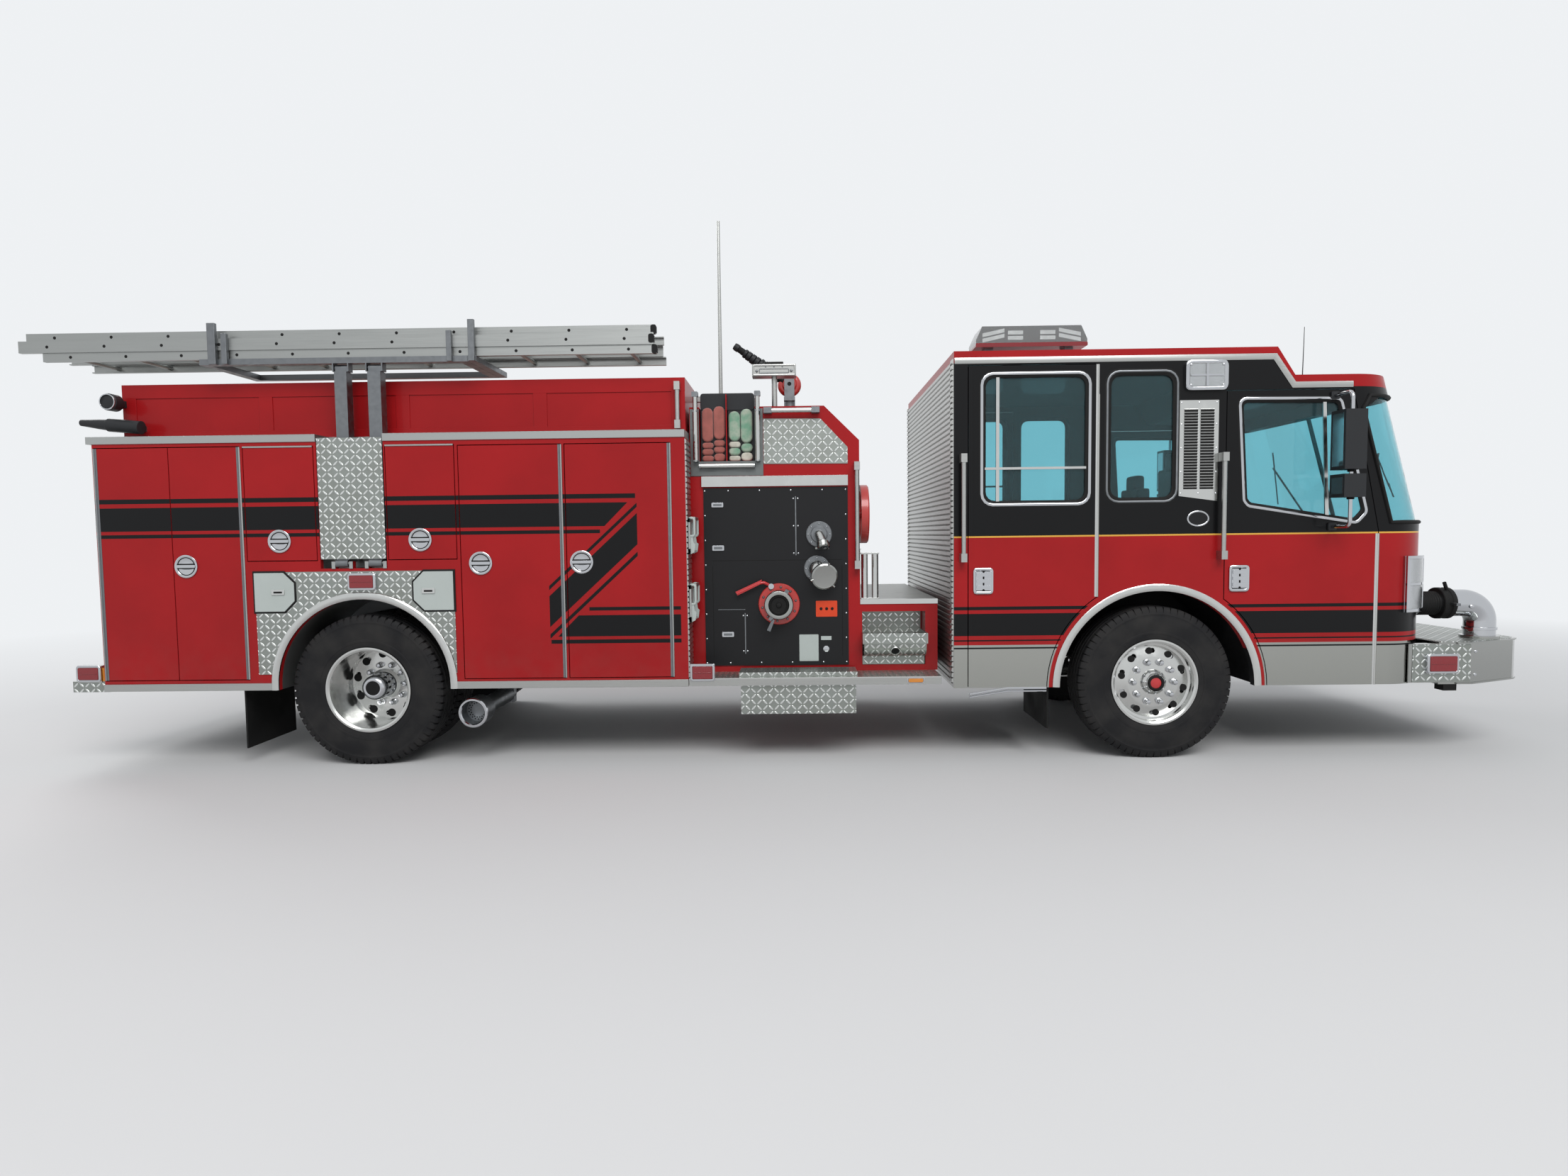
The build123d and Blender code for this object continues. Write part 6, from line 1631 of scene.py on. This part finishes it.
def make_ladders():
    """Three ladders: beams of channel section, a rung every 0.4 m with its ends, and rubber feet."""
    beams, rungs, ends, tips = [], [], [], []
    for x0, x1, y, low, deep, apart in LADDERS:
        high, z = low + deep, low + deep / 2
        channel = np.array([(y, low), (y + 0.03, low), (y + 0.03, low + 0.007), (y + 0.007, low + 0.01),
                            (y + 0.007, high - 0.01), (y + 0.03, high - 0.007), (y + 0.03, high), (y, high)])
        beams.append(prism(channel, x0, x1, "x"))
        beams.append(prism((channel * (-1, 1) + (2 * y + apart + 0.03, 0))[::-1], x0, x1, "x"))
        count = round((x1 - x0) / 0.4)
        for x in x0 + (x1 - x0) * (np.arange(count) + 0.5) / count:
            rungs.append(rod((x, y + 0.001, z), (x, y + apart + 0.029, z), 0.015, 12))
            ends.append((x, y, z))
        tips.append(soft_box(x1 - 0.035, x1 + 0.004, z - 0.031, z + 0.031, 0.014, y - 0.002, y + 0.032))
    made = piece("ladder_set", "ladder_cradle",
                 [("ladder_metal", *beams, *rungs),
                  ("rubber", domes(ends, 0.011, 0.002)), ("rubber", *tips)])
    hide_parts("ladders")
    posts = blocks(
        (0.755, 0.82, -1.165, -1.105, 2.791, 2.831), (0.755, 0.82, -0.56, -0.51, 2.791, 2.831),
        (0.76, 0.82, -1.106, -0.559, 2.791, 2.831), (-1.024, -0.969, -1.19, -1.161, 2.791, 3.072),
        (0.773, 0.816, -1.19, -1.161, 2.791, 3.072), (-0.93, -0.892, -1.19, -1.161, 2.791, 3.0),
        (0.623, 0.658, -1.19, -1.161, 2.791, 3.0))
    piece("cradle_posts", "ladder_cradle", [("steel", posts)], bevel=0.003)


def make_hose_load():
    """Folded supply hose in the bed: rows of flat folds that lie fore and aft, no two ends level."""
    parts = {"hose_white": [], "hose_pink": []}
    for row in range(8):
        y = -0.46 + 0.131 * row
        for layer in range(3):
            shift = 0.045 * math.sin(7.1 * row + 3.3 * layer)
            z = 2.36 + 0.036 * layer + 0.005 * math.sin(5.0 * row)
            flat = box_outline(y - 0.062, y + 0.062, z, z + 0.033, 0.015, 3)
            jacket = "hose_pink" if row in (2, 5) else "hose_white"
            parts[jacket].append(prism(flat, -1.7 + shift, 2.12 - abs(shift), "x"))
    base = block(-1.72, 2.14, -0.525, 0.525, 2.082, 2.362)
    piece("hose_load", "truck",
          [("hose_white", base), *((jacket, *shapes) for jacket, shapes in parts.items())], bevel=0.006)


BARREL_RINGS = (
    # distance along the barrel, outer radius, half width
    (0.185, 0.041, 0.02), (0.245, 0.052, 0.016), (0.285, 0.05, 0.012), (0.322, 0.042, 0.02),
    (0.362, 0.04, 0.02), (0.402, 0.038, 0.02), (0.436, 0.037, 0.014), (0.52, 0.031, 0.02),
)


def make_gun_trim():
    """Red ring pipe of the deck gun, on its pivot."""
    pivot = np.array((2.96, 0.0, 2.79))
    loop = turned(circle(0.0305, 14) + (0.066, 0.0), pivot, (0, 1, 0), 40, closed=True)
    hub = turned([(0.05, -0.05), (0.054, -0.046), (0.054, 0.046), (0.05, 0.05)], pivot, (0, 1, 0), 28)
    lift = math.radians(36)
    along = np.array((-math.cos(lift), 0.0, math.sin(lift)))
    rings = []
    for reach, radius, wide in BARREL_RINGS:
        profile = [(radius - 0.008, -wide), (radius, -wide * 0.7), (radius, wide * 0.7), (radius - 0.008, wide)]
        rings.append(turned(profile, pivot + along * reach, along, 24))
    rings.append(turned([(0.034, 0.232), (0.046, 0.236), (0.044, 0.298), (0.034, 0.302)], pivot, along, 24))
    mouth = turned([(0.028, 0.53), (0.028, 0.546), (0.02, 0.546), (0.018, 0.52)], pivot, along, 24)
    piece("gun_ring", "gun_barrel",
          [("gun_red", loop, hub), ("plastic", *rings, mouth)])


def make_light_trim():
    """Bezel rings, screws and black handle of the pole light."""
    x, y = 2.856, PUMP_SIDE + 0.15
    parts = [("brushed", hoop(box_outline(x - 0.15, x + 0.15, 2.723, 2.793, 0.008), y - 0.06, 0.014, 0.006)),
             ("steel", hoop(box_outline(x - 0.105, x + 0.105, 2.738, 2.766, 0.006), y - 0.06, 0.006, 0.004)),
             ("steel", domes([(x + d, y - 0.06, 2.752) for d in (-0.124, 0.124)], 0.011, 0.008)),
             ("steel", domes([(x + d, y - 0.06, 2.782) for d in (-0.06, 0.0, 0.06)], 0.006, 0.004)),
             ("rubber", soft_box(x - 0.067, x + 0.067, 2.812, 2.826, 0.006, y - 0.012, y + 0.012)),
             ("rubber", *(block(x + d - 0.005, x + d + 0.005, y - 0.01, y + 0.01, 2.799, 2.814)
                          for d in (-0.06, 0.06)))]
    piece("pole_light_trim", "scene_light", parts, bevel=0.001)


# Seats

SEATS = (
    # back x from the front axle, cushion z, facing (1 forward, -1 rearward)
    (0.56, 1.26, 1), (0.33, 1.33, -1), (-1.338, 1.08, 1),
)
SEAT_HALF = 0.236
SEAT_MIDDLE = abs(sum(node_box("front_cab_window_right"))[1] / 2) - 0.36
PAD_LIFT = 0.014


def pad_shape(wide, long, thick, cells):
    """A pad to be filled: a box of square cells, a little slimmer than it will be."""
    counts = [max(2, round(size / cells)) for size in (wide, long, thick)]
    grid = [np.linspace(-size / 2, size / 2, count + 1) for size, count in zip((wide, long, thick), counts)]
    mesh = bpy.data.meshes.new("pad")
    points, faces, index = [], [], {}

    def corner(key):
        """Number of the point at a crossing of the grid, made when first asked for."""
        if key not in index:
            index[key] = len(points)
            points.append([grid[axis][key[axis]] for axis in range(3)])
        return index[key]

    for axis in range(3):
        first, second = (axis + 1) % 3, (axis + 2) % 3
        for end in (0, counts[axis]):
            for a in range(counts[first]):
                for b in range(counts[second]):
                    quad = []
                    for da, db in ((0, 0), (1, 0), (1, 1), (0, 1)):
                        key = [0, 0, 0]
                        key[axis], key[first], key[second] = end, a + da, b + db
                        quad.append(corner(tuple(key)))
                    faces.append(quad if end else quad[::-1])
    mesh.from_pydata(points, [], faces)
    return mesh


def filled(wide, long, thick):
    """Points and faces of a pad blown up as cloth, with each point held within PAD_LIFT of its place."""
    mesh = pad_shape(wide - 0.018, long - 0.018, thick - 0.018, 0.024)
    start = np.empty(len(mesh.vertices) * 3)
    mesh.vertices.foreach_get("co", start)
    start = start.reshape(-1, 3)
    thing = bpy.data.objects.new("pad", mesh)
    bpy.context.scene.collection.objects.link(thing)
    cloth = thing.modifiers.new("Cloth", "CLOTH")
    cloth.settings.quality = 5
    cloth.settings.use_pressure = True
    cloth.settings.uniform_pressure_force = 4.0
    cloth.settings.effector_weights.gravity = 0.0
    for step in range(1, 21):
        bpy.context.scene.frame_set(step)
    shaped = thing.evaluated_get(bpy.context.evaluated_depsgraph_get()).data
    end = np.empty(len(start) * 3)
    shaped.vertices.foreach_get("co", end)
    end = end.reshape(-1, 3)
    bpy.data.objects.remove(thing)
    bpy.context.scene.frame_set(1)
    move = end - start
    far = np.linalg.norm(move, axis=1)[:, None]
    end = start + move * np.minimum(1, PAD_LIFT / np.maximum(far, 1e-9))
    quads = np.empty(len(mesh.loops), int)
    mesh.loops.foreach_get("vertex_index", quads)
    return end, quads.reshape(-1, 4)


def make_seats():
    """Six seats: a filled cushion, back and headrest each, for the pedestals made with the cab's fittings."""
    pads = {"cushion": filled(2 * SEAT_HALF, 0.53, 0.108), "back": filled(2 * SEAT_HALF, 0.6, 0.106),
            "headrest": filled(0.236, 0.195, 0.1)}
    for number, (back, level, facing) in enumerate(SEATS):
        x = WHEELBASE + back
        places = {
            # pad: its middle forward of the seat's back, its height, and its own axes
            "cushion": ((0.275, level + 0.055), ((0, 1, 0), (1, 0, 0), (0, 0, 1))),
            "back": ((0.055, level + 0.412), ((0, 1, 0), (0, 0, 1), (1, 0, 0))),
            "headrest": ((0.055, level + 0.718), ((0, 1, 0), (0, 0, 1), (1, 0, 0))),
        }
        for side, middle in (("right", -SEAT_MIDDLE), ("left", SEAT_MIDDLE)):
            for name, ((ahead, height), axes) in places.items():
                points, quads = pads[name]
                turn = np.array(axes, float) * (facing, 1, 1)
                placed = points @ turn + (x + facing * ahead, middle, height)
                shape = outward(placed, [quads])
                made = piece(f"seat_{name}_{side}_{number + 1}", "truck", [("vinyl", shape)],
                             smooth=80)
                finer = made.modifiers.new("Finer", "SUBSURF")
                finer.levels = finer.render_levels = 1


def make_cab_fittings():
    """Pedestals, dashboard with its hood and dials, and the steering wheel."""
    parts = []
    for (back, level, facing), low in zip(SEATS, (0.577, 1.235, 0.577)):
        x = sorted((WHEELBASE + back + facing * 0.24, WHEELBASE + back + facing * 0.5))
        parts += [("plastic", block(*x, middle - 0.18, middle + 0.18, low, level))
                  for middle in (-SEAT_MIDDLE, SEAT_MIDDLE)]
    front = CAB_NOSE - 0.05
    dash = [(front - 0.42, 1.2), (front - 0.3, 1.2), (front - 0.3, 1.3), (front - 0.004, 1.3),
            (front - 0.004, 1.555), (front - 0.33, 1.56), (front - 0.42, 1.5)]
    parts.append(("plastic", prism(dash, -0.815, 0.815)))
    lean = math.radians(35)
    axis = np.array((-math.sin(lean), 0, math.cos(lean)))
    hub = np.array((front - 0.61, SEAT_MIDDLE, 1.6))
    rim = turned(circle(0.013, 10) + (0.2, 0.0), hub, axis, 40, closed=True)
    side, up, _ = basis(axis)
    spokes = [rod(hub, hub + 0.195 * (math.cos(a) * side + math.sin(a) * up), 0.01, 8) for a in (0.3, 2.4, 4.5)]
    parts += [("rubber", rim, *spokes,
               turned([(0.055, -0.02), (0.055, 0.012), (0.035, 0.022), (0.004, 0.024)], hub, axis, 24)),
              ("plastic", rod(hub - axis * 0.33, hub, 0.028, 16))]
    dials = [(front - 0.4215, SEAT_MIDDLE + d, 1.4) for d in (-0.16, -0.08, 0.0, 0.08, 0.16)]
    parts.append(("chrome", domes(dials, 0.03, 0.006, (-1, 0, 0), 20)))
    made = piece("cab_fittings", "truck", parts, bevel=0.006)
    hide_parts("cab_interior")


def make_exhaust_trim():
    """Perforated inner sleeve of the exhaust's outlet, its holes shown as dark domes of painted shade."""
    x, z = 0.733, 0.362
    # Dark rubber domes on the sleeve are painted shade in its holes.
    holes = around((x, -1.106, z), 0.052, 18) + around((x, -1.106, z), 0.066, 18, 0.17)
    lip = turned([(0.082, 0.0), (0.104, 0.0), (0.104, 0.014), (0.098, 0.02), (0.086, 0.02), (0.08, 0.012)],
                 (x, -1.196, z), steps=40, closed=True)
    sleeve = washer(0.001, 0.074, 0.0, 0.004, (x, -1.101, z), steps=32)
    piece("exhaust_trim", "truck",
          [("chrome", lip), ("steel", sleeve), ("rubber", domes(holes, 0.0052, 0.0015, steps=6))])


# Studio

CAMERA_PLACE = (3.004, -7.313, 1.581)
CAMERA_YAW, CAMERA_PITCH, CAMERA_ROLL = -0.839, -3.463, -0.669
FOCAL_PIXELS, FRAME_WIDTH = 1252.8, 2212
SENSOR_WIDTH = 36.0


def make_camera():
    """Camera of the photograph's place and turn: forward, then right and up rolled about it."""
    yaw, pitch, roll = map(math.radians, (CAMERA_YAW, CAMERA_PITCH, CAMERA_ROLL))
    forward = np.array((math.sin(yaw) * math.cos(pitch), math.cos(yaw) * math.cos(pitch),
                        math.sin(pitch)))
    level = np.array((math.cos(yaw), -math.sin(yaw), 0.0))
    over = np.cross(level, forward)
    right = math.cos(roll) * level + math.sin(roll) * over
    up = -math.sin(roll) * level + math.cos(roll) * over
    data = bpy.data.cameras.new("camera")
    data.sensor_width = SENSOR_WIDTH
    data.lens = SENSOR_WIDTH * FOCAL_PIXELS / FRAME_WIDTH
    data.clip_end = 200.0
    camera = bpy.data.objects.new("camera", data)
    turn = Matrix(np.stack([right, up, -forward], -1).tolist()).to_4x4()
    camera.matrix_world = Matrix.Translation((CAMERA_PLACE[0] + REAR_AXLE, *CAMERA_PLACE[1:])) @ turn
    bpy.context.scene.collection.objects.link(camera)
    bpy.context.scene.camera = camera


BACKDROP = (0.86, 0.88, 0.9, 1.0)
FLOOR_REACH = 60.0


def make_floor(colour):
    """A pale floor with faint cloudy shade, which fades into the backdrop far from the truck for
    the rays that see the backdrop."""
    finish = Finish("floor", colour, 0.8)
    cloud = finish.noise(0.8, 5.0).span(0.35, 0.7, 0.0, 0.05)
    finish.set(Base_Color=finish.mix(cloud, finish.colour, (0.5, 0.5, 0.5, 1.0)))
    forward, aside, _ = finish.axes()
    away = (forward - WHEELBASE / 2) ** 2.0 + aside ** 2.0
    finish.backed(Value(finish, finish.surface.outputs[0]), away.maths("SQRT").span(7.0, 15.0), "Emission",
                  "Material Output")
    mesh = bpy.data.meshes.new("floor")
    corners = [(x * FLOOR_REACH, y * FLOOR_REACH, 0) for x, y in ((-1, -1), (1, -1), (1, 1), (-1, 1))]
    mesh.from_pydata(corners, [], [(0, 1, 2, 3)])
    mesh.materials.append(finish.material)
    floor = bpy.data.objects.new("floor", mesh)
    bpy.context.scene.collection.objects.link(floor)


def make_world(strength):
    """Even light from all round; rays from the camera and from bright metal see a pale backdrop."""
    world = bpy.context.scene.world = bpy.data.worlds.new("studio")
    tree = Tree(world)
    light = tree.node("Background", Color=(0.93, 0.96, 1.0, 1.0), Strength=strength)
    tree.backed(light, None, "Background", "World Output")


def make_lamp(name, place, aim, size, power):
    """A soft rectangular lamp at a place, turned to shine at another."""
    data = bpy.data.lights.new(name, "AREA")
    data.shape = "RECTANGLE"
    data.size, data.size_y = size
    data.energy = power
    lamp = bpy.data.objects.new(name, data)
    _, _, along = basis(np.asarray(place, float) - np.asarray(aim, float))
    lamp.matrix_world = Matrix.Translation(place) @ aim_turn(along)
    bpy.context.scene.collection.objects.link(lamp)


def aim_turn(along):
    """Turn that points a lamp's back along a direction."""
    _, up, axis = basis(along)
    return Matrix(np.stack([np.cross(up, axis), up, axis], -1).tolist()).to_4x4()


# Operators

def done(*makers):
    """Makes the pieces of an operator, in order."""
    for make in makers:
        make()
    return {"FINISHED"}


class ENGINE_OT_stage(bpy.types.Operator):
    """Sets up the camera, the floor, the backdrop and the lamps"""
    bl_idname = "engine.stage"
    bl_label = "Stage"

    def execute(self, context):
        settings = context.scene.engine_stage
        context.scene.view_settings.view_transform = "Standard"
        make_camera()
        make_floor(settings.floor)
        make_world(settings.sky)
        make_lamp("key", (3.0, -15.0, 15.0), (0.0, 0.0, 1.0), (16.0, 9.0), settings.key)
        make_lamp("fill", (-12.0, 9.0, 12.0), (0.0, 0.0, 1.0), (9.0, 9.0), settings.key * 0.35)
        return {"FINISHED"}


class ENGINE_OT_frame(bpy.types.Operator):
    """Gives each node of the frame its finish"""
    bl_idname = "engine.frame"
    bl_label = "Frame finishes"

    def execute(self, context):
        return done(dress_frame)


class ENGINE_OT_tyres(bpy.types.Operator):
    """Makes the six treaded tyres"""
    bl_idname = "engine.tyres"
    bl_label = "Tyres"

    def execute(self, context):
        return done(make_tyres)


class ENGINE_OT_hubs(bpy.types.Operator):
    """Makes the hubs, their caps and the wheel nuts"""
    bl_idname = "engine.hubs"
    bl_label = "Hubs and nuts"

    def execute(self, context):
        return done(make_wheel_hardware)


class ENGINE_OT_windows(bpy.types.Operator):
    """Makes the window frames, gaskets and bars"""
    bl_idname = "engine.windows"
    bl_label = "Windows"

    def execute(self, context):
        return done(make_windows, make_screen)


class ENGINE_OT_cab(bpy.types.Operator):
    """Makes the cab's strips, handles, louvres, ribbed back and roof items"""
    bl_idname = "engine.cab"
    bl_label = "Cab trim"

    def execute(self, context):
        return done(make_cab_trim, make_cab_forms, make_louvre, make_back_sheet,
                    make_roof_items, make_mirror_trim, make_grille)


class ENGINE_OT_lamps(bpy.types.Operator):
    """Makes the lenses and bezels of every lamp"""
    bl_idname = "engine.lamps"
    bl_label = "Lamps"

    def execute(self, context):
        return done(make_headlamps, make_spot_lamps, make_lamps)


class ENGINE_OT_body(bpy.types.Operator):
    """Makes the locker handles, hinges, wheel arch plates and ribbed strips"""
    bl_idname = "engine.body"
    bl_label = "Body trim"

    def execute(self, context):
        return done(make_handles, make_arch, make_body_trim,
                    make_body_forms, make_bed_fittings, make_exhaust_trim)


class ENGINE_OT_pump(bpy.types.Operator):
    """Makes the panel fittings, intakes, outlets, rollers, steps and crosslay hoses"""
    bl_idname = "engine.pump"
    bl_label = "Pump house"

    def execute(self, context):
        return done(make_panels, make_intakes, make_house_trim, make_pump_forms, make_crosslays)


class ENGINE_OT_front(bpy.types.Operator):
    """Makes the bumper's plates and the suction hose"""
    bl_idname = "engine.front"
    bl_label = "Bumper"

    def execute(self, context):
        return done(make_bumper_trim)


class ENGINE_OT_top(bpy.types.Operator):
    """Makes the ladders' trim, the hose load, the gun's ring and the pole light's trim"""
    bl_idname = "engine.top"
    bl_label = "Top"

    def execute(self, context):
        return done(make_ladders, make_hose_load, make_gun_trim, make_light_trim)


class ENGINE_OT_seats(bpy.types.Operator):
    """Makes the padded seats, the dashboard and the steering wheel"""
    bl_idname = "engine.seats"
    bl_label = "Seats"

    def execute(self, context):
        return done(make_seats, make_cab_fittings)


STEPS = (
    ENGINE_OT_stage, ENGINE_OT_frame, ENGINE_OT_tyres, ENGINE_OT_hubs,
    ENGINE_OT_windows, ENGINE_OT_cab, ENGINE_OT_lamps, ENGINE_OT_body, ENGINE_OT_pump,
    ENGINE_OT_front, ENGINE_OT_top, ENGINE_OT_seats,
)


class ENGINE_PT_panel(bpy.types.Panel):
    """Lists the steps that dress the fire engine"""
    bl_idname = "ENGINE_PT_panel"
    bl_label = "Fire engine"
    bl_space_type = "VIEW_3D"
    bl_region_type = "UI"
    bl_category = "Fire engine"

    def draw(self, context):
        for step in STEPS:
            self.layout.operator(step.bl_idname)


SETTINGS = (
    ("engine_paint", PaintSettings), ("engine_wheels", WheelSettings), ("engine_stage", StageSettings),
)


def register():
    """Adds the settings, the operators and the panel."""
    for name, group in SETTINGS:
        bpy.utils.register_class(group)
        setattr(bpy.types.Scene, name, bpy.props.PointerProperty(type=group))
    for kind in STEPS + (ENGINE_PT_panel,):
        bpy.utils.register_class(kind)


def unregister():
    """Takes them out again."""
    for kind in (ENGINE_PT_panel,) + STEPS[::-1]:
        bpy.utils.unregister_class(kind)
    for name, group in SETTINGS[::-1]:
        delattr(bpy.types.Scene, name)
        bpy.utils.unregister_class(group)


def main():
    """Runs every step."""
    register()
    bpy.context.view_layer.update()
    for step in STEPS:
        group, name = step.bl_idname.split(".")
        getattr(getattr(bpy.ops, group), name)()


if __name__ == "__main__":
    main()
